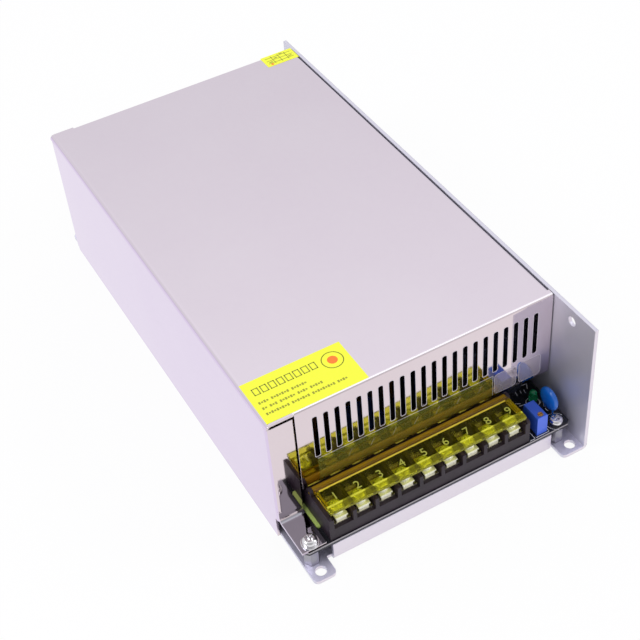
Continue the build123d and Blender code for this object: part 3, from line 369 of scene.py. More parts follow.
# Painted light and shade: front, outer, inner and foot give one sheet lighter or darker colours by the way
# its faces point, and bend is a painted highlight
lidSheet = dict(
    colour=(0.77, 0.69, 0.785),
    front=(0.715, 0.615, 0.655),
    outer=(0.70, 0.59, 0.79),
    inner=(0.13, 0.125, 0.16),
    foot=(0.45, 0.44, 0.51),
    bend=(1.0, 0.97, 1.0),
    metallic=1.0,
    roughness=0.05,
    cloud=42.0,
    grain=3.0,
    stretch=(1, 1, 1),
    depth=0.0005,
)
# Painted light and shade: front, outer and foot give the tray's one sheet lighter or darker colours by the
# way its faces point
traySheet = dict(
    colour=(0.70, 0.68, 0.79),
    front=(0.78, 0.72, 0.80),
    outer=(0.66, 0.65, 0.765),
    inner=(0.70, 0.68, 0.79),
    foot=(0.80, 0.775, 0.97),
    metallic=0.62,
    roughness=0.4,
    cloud=30.0,
    grain=1.2,
    stretch=(1, 0.06, 0.3),
    depth=0.004,
)
sheetMarks = dict(facing=0.7, lowPart=4, bendDepth=1.0, bendHeight=0.3, bendInset=11, streak=0.08, edge=0.35)


def sheetMetal(name, settings):
    metal = Finish(name, settings["colour"], settings["roughness"], settings["metallic"])
    cloud = metal.grain(settings["cloud"], 2)
    brush = metal.grain(settings["grain"], 4, settings["stretch"])
    side, square = metal.part(metal.facing, 0), sheetMarks["facing"]
    # Painted light and shade: each face takes the colour for the way it points, and low upward faces take the
    # foot colour
    low = metal.part(metal.place, 2) < (boardTop + sheetMarks["lowPart"]) * mm
    base = metal.blend(metal.part(metal.facing, 1).size() > square, settings["colour"], settings["front"])
    base = metal.blend(side < -square, base, settings["outer"])
    base = metal.blend(side > square, base, settings["inner"])
    base = metal.blend(low * (metal.part(metal.facing, 2) > square), base, settings["foot"])
    streak = metal.between(cloud, 0.35, 0.65, 0.0, 0.5) + metal.between(brush, 0.3, 0.7, 0.0, 0.3)
    base = metal.blend(streak * sheetMarks["streak"], base, (1.0, 1.0, 1.0))
    if "bend" in settings:
        # Painted highlight: a plain white, not metallic band along the sharp bend of the top's front edge
        near = metal.part(metal.place, 1) < (panelY + sheetMarks["bendDepth"]) * mm
        high = metal.part(metal.place, 2) > (top - sheetMarks["bendHeight"]) * mm
        bend = near * high * (metal.part(metal.place, 0) > (left + sheetMarks["bendInset"]) * mm)
        base = metal.blend(bend, base, settings["bend"])
        metal.put("Metallic", 1 - bend)
    metal.put("Base Color", base)
    metal.wear(brush, metal.between(cloud, 0.3, 0.7, -0.015, 0.02) + settings["roughness"], -0.01, 0.02)
    metal.surface(brush, settings["depth"], sheetMarks["edge"])
    return metal.material


matt = dict(metallic=0.0, coat=0.0, shine=0.5, grain=0.8, depth=0.01, vary=0.15, edge=0.0)
bright = dict(matt, metallic=1.0, depth=0.004, vary=0.1, edge=0.1)
plainFinishes = {
    "blackPlastic": dict(
        matt,
        colour=(0.025, 0.015, 0.025),
        roughness=0.45,
        shine=0.3,
        grain=0.5,
        depth=0.012,
        vary=0.25,
        edge=0.12,
    ),
    "screwZinc": dict(bright, colour=(0.80, 0.79, 0.82), roughness=0.16, grain=0.6),
    # Painted highlight: the terminal screws' zinc is paler and less metallic than the other screws, so they
    # show bright through the lid
    "terminalZincPaintedHighlight": dict(bright, colour=(0.93, 0.93, 0.86), roughness=0.25, metallic=0.55, grain=0.6),
    # Painted shade: the posts' nickel is darkened for the shade under the board
    "postNickelPaintedShade": dict(bright, colour=(0.42, 0.41, 0.46), roughness=0.36, vary=0.2),
    "clampPlate": dict(bright, colour=(0.95, 0.94, 0.76), roughness=0.3, metallic=0.6),
    "tinnedBrass": dict(bright, colour=(0.80, 0.76, 0.64), roughness=0.25, vary=0.12),
    # Painted light: the trimmer's front faces are lighter than its other sides
    "trimmerBlue": dict(
        matt, colour=(0.030, 0.105, 0.62), front=(0.075, 0.165, 0.80), roughness=0.38, grain=0.7, depth=0.006
    ),
    "brassScrew": dict(bright, colour=(0.80, 0.50, 0.16), roughness=0.22, grain=0.5, vary=0.2, edge=0.08),
    "discBlue": dict(
        matt, colour=(0.010, 0.17, 0.72), roughness=0.16, grain=1.8, depth=0.03, vary=0.25, coat=0.6
    ),
    "thermistorGreen": dict(matt, colour=(0.06, 0.22, 0.11), roughness=0.4, grain=1.2, depth=0.03, vary=0.3),
    "windingWire": dict(
        matt, colour=(0.62, 0.26, 0.10), roughness=0.3, metallic=0.7, grain=0.5, depth=0.05, vary=0.35
    ),
    "ferrite": dict(
        matt, colour=(0.06, 0.06, 0.065), roughness=0.6, grain=0.3, depth=0.02, vary=0.3, edge=0.3
    ),
    "transformerTape": dict(matt, colour=(0.82, 0.60, 0.07), roughness=0.35, grain=2.5, depth=0.03, edge=0.3),
    "capacitorSleeve": dict(matt, colour=(0.03, 0.035, 0.06), roughness=0.28, grain=1.5, vary=0.2, edge=0.3),
    "filmYellow": dict(
        matt, colour=(0.82, 0.60, 0.06), roughness=0.35, grain=1.2, depth=0.015, vary=0.12, edge=0.3
    ),
    "relayBlue": dict(matt, colour=(0.02, 0.05, 0.18), roughness=0.4, grain=0.6, edge=0.25),
    "sinkAluminium": dict(
        matt, colour=(0.72, 0.72, 0.75), roughness=0.34, metallic=1.0, grain=1.2, vary=0.12, edge=0.2
    ),
    "padGrey": dict(matt, colour=(0.42, 0.43, 0.43), roughness=0.7, grain=0.6, vary=0.12),
    "boardGreen": dict(matt, colour=(0.03, 0.20, 0.07), roughness=0.35, grain=2.0, vary=0.2),
    "socketWhite": dict(
        matt, colour=(0.85, 0.83, 0.74), roughness=0.4, grain=0.7, depth=0.008, vary=0.06, edge=0.15
    ),
    "shuntAlloy": dict(matt, colour=(0.62, 0.50, 0.40), roughness=0.3, metallic=1.0, depth=0.006),
    "insulatingSheet": dict(matt, colour=(0.82, 0.80, 0.72), roughness=0.5, grain=3.0, vary=0.06),
    "fuseGlass": dict(
        matt, colour=(0.86, 0.90, 0.90), roughness=0.08, grain=2.0, depth=0.004, vary=0.05, coat=0.5
    ),
}


def plainFinish(name, settings):
    colour = settings["colour"]
    fixed = dict(Coat_Weight=settings["coat"], Specular_IOR_Level=settings["shine"])
    made = Finish(name, colour, settings["roughness"], settings["metallic"], **fixed)
    fine = made.grain(settings["grain"], 4)
    broad = made.grain(settings["grain"] * 14, 2)
    darker = tuple(c * (1 - settings["vary"]) for c in colour)
    mottled = made.blend(made.between(broad, 0.35, 0.65), darker, colour)
    # Painted light: a lighter colour on the faces that point to the front
    if "front" in settings:
        mottled = made.blend(made.part(made.facing, 1) < -0.7, mottled, settings["front"])
    made.put("Base Color", mottled)
    made.wear(fine, settings["roughness"], -0.04, 0.05)
    made.surface(fine, settings["depth"], settings["edge"])
    return made.material


boardLook = dict(mask=(0.012, 0.013, 0.018), core=(0.36, 0.34, 0.36), coreDepth=0.75)


def boardFinish(settings):
    # Glossy black mask, with a pale line of bare laminate along the cut edges
    board = Finish("boardLaminate", settings["mask"], 0.22)
    upper = board.part(board.place, 2) > (boardTop - settings["coreDepth"]) * mm
    bare = (board.part(board.facing, 2).size() < 0.5) * upper
    weave = board.grain(0.5, 2)
    board.shades(bare, settings["mask"], settings["core"])
    board.wear(weave, bare * 0.3, 0.2, 0.3)
    board.surface(weave, 0.01)
    return board.material


clearParts = {
    "window": dict(tint=(0.80, 0.80, 0.10), clearness=0.99, ior=1.3, roughness=0.015),
    "bar": dict(tint=(0.76, 0.74, 0.07), clearness=0.88, ior=1.45, roughness=0.07),
    "ends": dict(tint=(0.72, 0.50, 0.03), clearness=0.70, ior=1.4, roughness=0.08),
    "slope": dict(tint=(0.50, 0.36, 0.02), clearness=0.95, ior=1.3, roughness=0.05),
    "hinge": dict(tint=(0.42, 0.25, 0.012), clearness=0.40, ior=1.3, roughness=0.16),
    # The crest rib's gold is a painted highlight, kept out of reflections by mirrored=False
    "crest": dict(tint=(0.84, 0.64, 0.07), clearness=0.15, ior=1.45, roughness=0.22, mirrored=False),
}
clearLid = dict(sheen=(0.30, 0.24, 0.04, 1), shade=(0.93, 0.95, 0.50, 1), deep=0.86)


def clearYellow(name, settings):
    # Clear plastic for sight, and a plain tint for the light that passes to what it covers
    tint = settings["tint"]
    fixed = dict(
        Transmission_Weight=settings["clearness"], IOR=settings["ior"], Specular_Tint=clearLid["sheen"]
    )
    clear = Finish(name, tint, settings["roughness"], **fixed)
    haze = clear.grain(6, 2)
    clear.shades(clear.between(haze, 0.35, 0.65), tuple(c * clearLid["deep"] for c in tint), tint)
    clear.wear(haze, settings["roughness"], -0.01, 0.02)
    clear.surface(haze, 0.0006)
    through = clear.node("ShaderNodeBsdfTransparent", {"Color": clearLid["shade"]})
    passing = clear.ray("Shadow").most(clear.ray("Diffuse"))
    # A part whose colour is a painted highlight lets glossy rays pass, so it shows in no reflection
    if not settings.get("mirrored", True):
        passing = passing.most(clear.ray("Glossy"))
    clear.mix(passing, through)
    return clear.material


def lampGreen():
    green = Finish("lampGreen", (0.03, 0.50, 0.20), 0.08, Transmission_Weight=0.8, IOR=1.5)
    cloud = green.grain(1.5, 2)
    green.shades(cloud, (0.01, 0.34, 0.12), (0.03, 0.60, 0.26))
    green.wear(cloud, 0.0, 0.05, 0.14)
    return green.material


flatLook = dict(roughness=0.5, grain=0.5, detail=3, stretch=(1, 1, 1), depth=0.004, edge=0.0, fixed={})


def flatFinish(name, settings):
    # Print, paper and other plain surfaces between two shades
    made = Finish(name, settings["colour"], settings["roughness"], **settings["fixed"])
    noise = made.grain(settings["grain"], settings["detail"], settings["stretch"])
    made.shades(noise, *settings["shades"])
    if "wear" in settings:
        made.wear(noise, 0.0, *settings["wear"])
    made.surface(noise, settings["depth"], settings["edge"])
    return made.material


finishes = {name: plainFinish(name, settings) for name, settings in plainFinishes.items()}
finishes |= {part + "Yellow": clearYellow(part + "Yellow", settings) for part, settings in clearParts.items()}
finishes["lidSteel"] = sheetMetal("platedSteelSheet", lidSheet)
finishes["trayAluminium"] = sheetMetal("aluminiumSheet", traySheet)
finishes["boardBlack"] = boardFinish(boardLook)
finishes["lampGreen"] = lampGreen()

finishedNodes = {
    "trayAluminium": ("chassis_tray",),
    "lidSteel": ("case_lid",),
    "boardBlack": ("circuit_board",),
    "insulatingSheet": ("insulating_film",),
    "postNickelPaintedShade": ("board_posts",),
    "screwZinc": ("lid_screws", "clamp_bar", "clamp_screws"),
    "blackPlastic": (
        "terminal_block",
        "fan_frame",
        "fan_rotor",
        "switch_transistors",
        "rectifiers",
        "bridge_rectifier",
        "control_chips",
    ),
    "tinnedBrass": ("terminal_contacts", "fuse_clips"),
    "windowYellow": ("terminal_lid",),
    "trimmerBlue": ("trimmer_case",),
    "brassScrew": ("trimmer_screw",),
    "thermistorGreen": ("thermistor",),
    "windingWire": ("fan_stator", "ring_winding", "line_choke_coils"),
    "capacitorSleeve": ("bulk_capacitors", "output_capacitors"),
    "ferrite": ("transformer_core", "ring_core", "line_choke_core"),
    "transformerTape": ("transformer_winding",),
    "filmYellow": ("film_capacitor",),
    "relayBlue": ("relay",),
    "fuseGlass": ("fuse",),
    "sinkAluminium": ("heat_sink",),
    "padGrey": ("insulating_pads",),
    "boardGreen": ("control_board",),
    "shuntAlloy": ("current_shunt",),
    "socketWhite": ("fan_socket",),
}
for finish, names in finishedNodes.items():
    for name in names:
        nodes[name].data.materials.clear()
        nodes[name].data.materials.append(finishes[finish])
print("finishes on the packed nodes")


# Pan head screws with a cross recess

panScrew = dict(radius=2.9, height=2.1, crown=0.55, rim=0.35, arm=1.7, slotWidth=0.85, depth=1.1, rings=8)
washerScrew = dict(panScrew, washer=3.6, washerHeight=0.6, chamfer=0.12, turn=0.5)
terminalScrew = dict(panScrew, radius=3.0, height=2.2, arm=2.172414, slotWidth=0.931034)
screwPlaces = dict(footX=5.2, leftX=8.4, inset=2.8, frontBack=14.6, footRise=1.0, fanInset=5, rearInset=2.9)


def panHead(settings):
    radius, height, rings = settings["radius"], settings["height"], settings["rings"]
    crown, rim = settings["crown"], settings["rim"]
    lift = settings.get("washerHeight", 0.0)
    profile = [(radius, lift)]
    for k in range(rings + 1):
        turn = math.pi / 2 * k / rings
        out = radius * (crown + (1 - crown) * math.cos(turn))
        profile.append((out, lift + height * (rim + (1 - rim) * math.sin(turn))))
    shape = Shape().lathe(profile, segments=56)
    if lift:
        washer, chamfer = settings["washer"], settings["chamfer"]
        edge = [(washer - chamfer, 0), (washer, chamfer), (washer, lift - chamfer), (washer - chamfer, lift)]
        shape.lathe(edge, segments=56)
    head = shape.done("screwHead")
    arm, width = settings["arm"], settings["slotWidth"] / 2
    low, high = lift + height - settings["depth"], lift + height + 1
    tool = Shape().box((-arm, -width, low), (arm, width, high)).box((-width, -arm, low), (width, arm, high))
    cutter = tool.done("screwCutter")
    cut = head.modifiers.new("recess", "BOOLEAN")
    cut.object = cutter
    cut.solver = "EXACT"
    cut.use_self = True
    mesh = bpy.data.meshes.new_from_object(evaluated(head))
    bpy.data.objects.remove(cutter)
    bpy.data.objects.remove(head)
    return smooth(shown("screwHead", mesh), 40)


def screwHeads(name, settings, places, finish, node, turn=(0, 0, 0), spread=1.2, seed=1, extra=None):
    heads = repeat(name, panHead(settings), places, finishes[finish], turn, spread, seed)
    if extra:
        whole = bmesh.new()
        whole.from_mesh(heads.data)
        whole.from_mesh(extra.data)
        whole.to_mesh(heads.data)
        whole.free()
        bpy.data.objects.remove(extra)
    dress(smooth(heads, 40), finishes[finish], instead=(node,))


screwHigh = corners("board_screws")[1]
columns = left + screwPlaces["leftX"], screwHigh[0] - screwPlaces["inset"]
frontRow, backRow = panelY - screwPlaces["frontBack"], screwHigh[1] - screwPlaces["inset"]
boardPlaces = [(columns[1], frontRow, boardTop)]
boardPlaces += [(x, y, boardTop) for y in ((frontRow + backRow) / 2, backRow) for x in columns]
footHead = panHead(washerScrew)
footPlace = Vector((left + screwPlaces["footX"], frontRow, boardTop + screwPlaces["footRise"]))
footHead.data.transform(Matrix.Translation(footPlace * mm) @ Matrix.Rotation(washerScrew["turn"], 4, "Z"))
screwHeads("boardScrewHeads", panScrew, boardPlaces, "screwZinc", "board_screws", seed=4, extra=footHead)
turnBack = (-math.pi / 2, 0, 0)
fanLow, fanHigh = corners("fan_frame")
fanInset = screwPlaces["fanInset"]
fanXs, fanZs = ((fanLow[axis] + fanInset, fanHigh[axis] - fanInset) for axis in (0, 2))
fanPlaces = [(x, backY, z) for x in fanXs for z in fanZs]
screwHeads("fanScrewHeads", panScrew, fanPlaces, "screwZinc", "fan_screws", turnBack, seed=7)
rearLow, rearHigh = corners("rear_screws")
rearXs = rearLow[0] + screwPlaces["rearInset"], rearHigh[0] - screwPlaces["rearInset"]
rearPlaces = [(x, backY, (rearLow[2] + rearHigh[2]) / 2) for x in rearXs]
screwHeads("rearScrewHeads", panScrew, rearPlaces, "screwZinc", "rear_screws", turnBack, seed=9)
print("screw heads")


# Terminal screws and the wire clamps under them

clamp = dict(
    width=5.2,
    depth=8.4,
    thickness=0.7,
    edge=0.15,
    lipWidth=4.2,
    lipBack=0.35,
    lipDepth=2.3,
    overlap=0.02,
    bend=0.4,
    steps=6,
)
clampLow, clampHigh = corners("wire_clamps")
terminalLow, terminalHigh = corners("terminal_screws")


def clampPlate(settings):
    # Flat plate over a narrower bent lip
    thick, depth, back, steps = (settings[key] for key in ("thickness", "depth", "lipBack", "steps"))
    half, lipHalf, overlap = settings["width"] / 2, settings["lipWidth"] / 2, settings["overlap"]
    outer = thick + settings["bend"]
    middle = back + outer, -thick - outer + overlap
    low = -thick - settings["lipDepth"]
    outline = [(depth, -thick + overlap)] + arc(*middle, outer, 90, 180, steps)
    outline += [(back, low), (back + thick, low)] + arc(*middle, settings["bend"], 180, 90, steps)
    outline += [(depth, -2 * thick + overlap)]
    shape = Shape().box((-half, 0, -thick), (half, depth, 0), settings["edge"])
    return shape.prism(outline, -lipHalf, lipHalf, sideways).done("clampPlate")


clampPlaces = [(x, clampLow[1], clampHigh[2]) for x in poles]
clamps = repeat("wireClampPlates", clampPlate(clamp), clampPlaces, finishes["clampPlate"])
dress(smooth(clamps, 50), finishes["clampPlate"], instead=("wire_clamps",))
headPlaces = [(x, (terminalLow[1] + terminalHigh[1]) / 2, clampHigh[2]) for x in poles]
screwHeads(
    "terminalScrewHeads", terminalScrew, headPlaces, "terminalZincPaintedHighlight", "terminal_screws", spread=1.4, seed=11
)
print("terminals")


# Clear lid with its crest, rounded front bar and hinge pins

cover = dict(
    endGap=1.3,
    thickness=1.2,
    rimDepth=2.0,
    bar=3.2,
    edge=0.5,
    chamfer=0.3,
    crestBack=5.8,
    crestRadius=0.35,
    crestInset=(1.3, 2.2),
    hingeBack=2.6,
    hingeUp=12.6,
    barrel=1.5,
    pin=0.8,
    slopeEnd=0.55,
    slopeLow=0.4,
    slopeHigh=1.495,
    rim=1.2,
    sideRim=1.5,
    gap=0.02,
)
coverEnds = coverLow[0] + cover["endGap"], coverHigh[0] - cover["endGap"]
coverFront, coverRoof = coverLow[1], coverHigh[2]
coverInner = coverRoof - cover["thickness"]
coverCrest = panelY - cover["crestBack"]
hingeY, hingeZ = panelY - cover["hingeBack"], boardTop + cover["hingeUp"]


def coverWindow(settings):
    front = coverFront + settings["bar"] + settings["gap"]
    return Shape().box((coverEnds[0], front, coverInner), (coverEnds[1], coverCrest, coverRoof))


def coverBar(settings):
    # Thick bar along the front
    low, edge, chamfer = coverRoof - settings["rimDepth"], settings["edge"], settings["chamfer"]
    back = coverFront + settings["bar"]
    outline = [(back, coverRoof), (back, low), (coverFront + chamfer, low), (coverFront, low + chamfer)]
    outline += arc(coverFront + edge, coverRoof - edge, edge, 180, 90, 6)
    return Shape().prism(list(reversed(outline)), *coverEnds, sideways)


def coverSides(settings):
    # Short rims under both ends
    shape = Shape()
    front = coverFront + settings["bar"] + 0.05
    for x in (coverEnds[0], coverEnds[1] - settings["rim"]):
        high = (x + settings["rim"], coverCrest + 0.4, coverInner - settings["gap"])
        shape.box((x, front, coverInner - settings["sideRim"]), high, 0.15)
    return shape


def coverSlope(settings):
    # From the crest down to the barrel
    back, start = hingeY - settings["slopeEnd"], coverCrest + settings["gap"]
    outline = [(start, coverInner), (back, hingeZ + settings["slopeLow"])]
    outline += [(back, hingeZ + settings["slopeHigh"]), (start, coverRoof)]
    return Shape().prism(outline, *coverEnds, sideways)


def coverHinge(settings):
    # Barrel with the pins at both ends
    barrel, pin = settings["barrel"], settings["pin"]
    shape = Shape()
    pinEnds = (coverLow[0], coverEnds[0] - 0.01), (coverEnds[1] + 0.01, coverHigh[0])
    rods = (barrel, *coverEnds), (pin, *pinEnds[0]), (pin, *pinEnds[1])
    for radius, start, end in rods:
        place = Matrix.Translation((start, hingeY, hingeZ)) @ Matrix.Rotation(math.pi / 2, 4, "Y")
        shape.lathe([(radius, 0), (radius, end - start)], place, 40)
    return shape


def coverRib(settings):
    # Raised half round line along the crest
    outline = arc(coverCrest, coverRoof - 0.02, settings["crestRadius"], 0, 180, 12)
    inset = settings["crestInset"]
    return Shape().prism(outline, coverEnds[0] + inset[0], coverEnds[1] - inset[1], sideways)


coverPieces = {
    "coverWindow": (coverWindow, "windowYellow"),
    "coverBar": (coverBar, "barYellow"),
    "coverSides": (coverSides, "endsYellow"),
    "coverSlope": (coverSlope, "slopeYellow"),
    "coverHinge": (coverHinge, "hingeYellow"),
    "coverRib": (coverRib, "crestYellow"),
}
for name, (make, finish) in coverPieces.items():
    piece = smooth(make(cover).done(name), 30)
    dress(piece, finishes[finish], "terminal_cover", ("terminal_lid",))


# Raised numbers on the clear lid

number = dict(height=3.7, size=5.18, weight=-0.02, lift=0.22, back=10.6, right=0.5, sink=0.02)
numberLook = dict(
    flatLook,
    colour=(0.86, 0.88, 0.16),
    shades=((0.52, 0.55, 0.06), (0.78, 0.80, 0.16)),
    roughness=0.3,
    grain=0.6,
    detail=2,
    depth=0.02,
    fixed=dict(Transmission_Weight=0.35, IOR=1.45),
)
numberFinish = flatFinish("raisedNumbers", numberLook)
numberY = panelY - number["back"] - number["height"] / 2
numberZ = coverHigh[2] + number["lift"] / 2 - number["sink"]
digits = bmesh.new()
for k, x in enumerate(poles):
    text = bpy.data.curves.new("number", "FONT")
    text.body = str(k + 1)
    text.size = number["size"]
    text.align_x = "CENTER"
    text.offset = number["weight"]
    text.extrude = number["lift"] / 2
    holder = shown("number", text)
    bpy.context.view_layer.update()
    mesh = bpy.data.meshes.new_from_object(evaluated(holder))
    mesh.transform(Matrix.Scale(mm, 4) @ Matrix.Translation((x + number["right"], numberY, numberZ)))
    digits.from_mesh(mesh)
    bpy.data.objects.remove(holder)
numbers = bpy.data.meshes.new("lidNumbers")
digits.to_mesh(numbers)
digits.free()
dress(shown("lidNumbers", numbers), numberFinish, body="terminal_cover")
print("numbers")


# Status lamp and disc capacitor at the front right corner

lamp = dict(radius=1.5, rim=1.9, rimHeight=0.9, height=4.8, lift=2.2, lead=0.3, leadApart=1.27)
lampLow, lampHigh = corners("status_lamp")
lampX = (lampLow[0] + lampHigh[0]) / 2
lampY = (lampLow[1] + lampHigh[1]) / 2


def lampShape(settings):
    radius, rimHeight, lift, lead = (settings[key] for key in ("radius", "rimHeight", "lift", "lead"))
    profile = [(settings["rim"], 0), (settings["rim"], rimHeight), (radius, rimHeight)]
    straight = settings["height"] - radius
    for k in range(9):
        turn = math.pi / 2 * k / 8
        profile.append((max(radius * math.cos(turn), 0.02), straight + radius * math.sin(turn)))
    shape = Shape().lathe(profile, Matrix.Translation((lampX, lampY, boardTop + lift)))
    for side in (-1, 1):
        place = Matrix.Translation((lampX, lampY + side * settings["leadApart"], boardTop))
        shape.lathe([(lead, 0), (lead, lift + 0.2)], place, 12)
    return shape.done("lampDome")


dress(smooth(lampShape(lamp)), finishes["lampGreen"], instead=("status_lamp",))

disc = dict(radius=5.2, thickness=3.4, lift=1.4, lead=0.35, bulge=0.55)


def discShape(settings):
    # Dipped disc with a soft rim, and the coating drawn down over both leads
    low, high = corners("disc_capacitor")
    radius, lift, lead = settings["radius"], settings["lift"], settings["lead"]
    half = settings["thickness"] / 2
    x, y = (low[0] + high[0]) / 2, (low[1] + high[1]) / 2
    profile = []
    for k in range(25):
        turn = -math.pi / 2 + math.pi * k / 24
        soft = abs(math.cos(turn)) ** settings["bulge"]
        profile.append((max(radius * soft, 0.02), half * math.sin(turn)))
    place = Matrix.Translation((x, y, boardTop + lift + radius)) @ Matrix.Rotation(math.pi / 2, 4, "Y")
    shape = Shape().lathe(profile, place, 64)
    coated = [(lead, 0), (lead, lift), (lead * 2.6, lift + 1.6), (lead, lift + 2.6)]
    for side in (-1, 1):
        shape.lathe(coated, Matrix.Translation((x, y + side * radius * 0.5, boardTop)), 16)
    return shape.done("discBody")


dress(smooth(discShape(disc), 60), finishes["discBlue"], instead=("disc_capacitor",))
print("lamp and disc")


# Earth strip on the board beside the foot

strip = dict(width=2.2, length=10.0, back=3, inset=11.9, height=0.9)
stripLook = dict(
    flatLook,
    colour=(0.50, 0.66, 0.16),
    shades=((0.42, 0.60, 0.12), (0.60, 0.74, 0.22)),
    roughness=0.45,
    grain=1.2,
    stretch=(1, 0.2, 1),
    depth=0.03,
    edge=0.15,
)
stripX, stripHalf = left + strip["inset"], strip["width"] / 2
stripOutline = [(stripX + stripHalf, panelY + strip["back"]), (stripX - stripHalf, panelY + strip["back"])]
stripOutline += arc(stripX, panelY - strip["length"] + stripHalf, stripHalf, 180, 360, 12)
stripPiece = Shape().prism(stripOutline, boardTop - 0.02, boardTop + strip["height"]).done("earthStrip")
dress(smooth(stripPiece, 50), flatFinish("stripGreen", stripLook))


# White print on the board

printLine = dict(width=0.28, thickness=0.03, screwRing=4.3, lampRing=2.7, trimSide=0.7, trimEnd=0.6)
printLook = dict(
    flatLook,
    colour=(0.85, 0.86, 0.90),
    shades=((0.70, 0.71, 0.76), (0.93, 0.93, 0.96)),
    roughness=0.55,
    grain=0.35,
    depth=0.01,
)
trimLow, trimHigh = corners("trimmer_case")
trimLeft, trimRight = trimLow[0] - printLine["trimSide"], trimHigh[0] + printLine["trimSide"]
trimFront, blockRight = trimLow[1] - printLine["trimEnd"], blockHigh[0]


def offsets(x0, y0, *points):
    return [(x0 + x, y0 + y) for x, y in points]


def fromPanel(*points):
    # Points measured from the case's left side and the panel
    return offsets(left, panelY, *points)


marks = Shape()
for points in (
    [(trimRight, trimHigh[1] + 0.8), (trimRight, trimFront), (trimLeft, trimFront)],
    offsets(blockRight, trimFront, (0.6, -0.2), (2.9, -0.2), (2.9, 3.2)),
    offsets(blockRight, trimFront, (0.6, 3.4), (1.6, 5.4), (2.6, 3.8)),
    arc(columns[1], frontRow, printLine["screwRing"], 20, 250),
    arc(lampX, lampY, printLine["lampRing"], 90, 400),
    fromPanel((111.5, 9.2), (119.2, 8.2), (117.8, 5.9)),
    fromPanel((111.5, 9.2), (111.2, 7.8)),
    fromPanel((112.6, 7.0), (112.2, 5.0)),
    fromPanel((114.6, 6.4), (114.3, 5.2)),
    fromPanel((116.2, 6.0), (115.8, 4.4)),
    fromPanel((109.0, 1.6), (110.6, 0.6)),
    fromPanel((109.6, -0.4), (112.0, -0.6)),
    fromPanel((118.0, -1.1), (118.0, -3.1), (117.2, -3.4)),
    fromPanel((118.6, -4.2), (117.7, -5.5), (118.6, -6.2)),
    fromPanel((117.4, -6.8), (117.4, -8.4)),
):
    marks.line(points, printLine["width"], boardTop - 0.01, boardTop + printLine["thickness"])
dress(marks.done("boardMarks"), flatFinish("boardPrint", printLook))
print("board print")


# Two yellow labels on the top, with plain boxes, blocks and bars in place of words

label = dict(paper=0.08, ink=0.015, front=((1.1, 1.0), (42.6, 22.7)), back=((107.0, 199.2), (123.2, 208.0)))
heading = dict(start=4.0, low=15.3, high=18.5, width=2.2, gap=1.15, count=8, stroke=0.38)
rows = dict(start=3.2, width=0.75, step=1.05, space=0.9, height=1.25, jog=0.25)
rowGroups = {10.6: (4, 7, 6), 7.6: (2, 3, 6, 4, 5), 4.6: (9, 7, 9, 4)}  # blocks in each group, by height
sign = dict(place=(36.0, 15.8), radius=4.1, stroke=0.32, spot=2.0, segments=32)
backSpot = dict(place=(109.9, 200.6), spot=0.7, segments=20)
cellMarks = (109.2, 202.2), (112.6, 204.4), (116.2, 206.4), (119.4, 202.3)
backBars = [(108.4, y, 121.8, y + 0.3) for y in (201.4, 203.6, 205.8)]
backBars += [(x, 200.4, x + 0.3, 207.0) for x in (111.6, 115.2, 118.6)]
backBars += [(x, y, x + 1.7, y + 0.6) for x, y in cellMarks]
labelLooks = {
    "labelYellow": dict(
        flatLook,
        colour=(0.93, 0.98, 0.03),
        shades=((0.90, 0.95, 0.03), (0.95, 1.0, 0.05)),
        roughness=0.42,
        grain=0.8,
        wear=(0.36, 0.48),
    ),
    "labelInk": dict(flatLook, colour=(0.20, 0.20, 0.02), shades=((0.16, 0.16, 0.02), (0.30, 0.30, 0.03))),
    "labelSmallInk": dict(
        flatLook, colour=(0.30, 0.30, 0.03), shades=((0.24, 0.24, 0.02), (0.42, 0.42, 0.03))
    ),
    "labelOrange": dict(flatLook, colour=(0.95, 0.22, 0.02), shades=((0.90, 0.17, 0.02), (1.0, 0.28, 0.03))),
}
inkLow, inkHigh = top + label["paper"] - 0.01, top + label["paper"] + label["ink"]


def inked(shape, x0, y0, x1, y1):
    low, high = fromPanel((x0, y0), (x1, y1))
    shape.box((*low, inkLow), (*high, inkHigh))


paper, ink, smallInk, spots = Shape(), Shape(), Shape(), Shape()
for side in ("front", "back"):
    low, high = fromPanel(*label[side])
    paper.box((*low, top - 0.02), (*high, top + label["paper"]))
y0, y1 = heading["low"], heading["high"]
for k in range(heading["count"]):
    x0 = heading["start"] + k * (heading["width"] + heading["gap"])
    x1 = x0 + heading["width"]
    ink.line(fromPanel((x0, y0), (x1, y0), (x1, y1), (x0, y1), (x0, y0)), heading["stroke"], inkLow, inkHigh)
for y, groups in rowGroups.items():
    x = rows["start"]
    for count in groups:
        for k in range(count):
            jog = rows["jog"] * (k % 2)
            inked(smallInk, x, y + jog, x + rows["width"], y + rows["height"] - jog)
            x += rows["step"]
        x += rows["space"]
ink.line(fromPanel(*arc(*sign["place"], sign["radius"], 0, 360, 40)), sign["stroke"], inkLow, inkHigh)
for box in backBars:
    inked(ink, *box)
for settings in (sign, backSpot):
    x, y = fromPanel(settings["place"])[0]
    rings = [(settings["spot"], inkLow), (settings["spot"], inkHigh)]
    spots.lathe(rings, Matrix.Translation((x, y, 0)), settings["segments"])
for name, shape, look, slot in (
    ("labelPaper", paper, "labelYellow", "tape_yellow"),
    ("labelBars", ink, "labelInk", "black_plastic"),
    ("labelRows", smallInk, "labelSmallInk", "black_plastic"),
    ("labelSpots", spots, "labelOrange", "tape_yellow"),
):
    dress(shape.done(name), flatFinish(look, labelLooks[look]))
print("labels")


# Clear film on the front panel

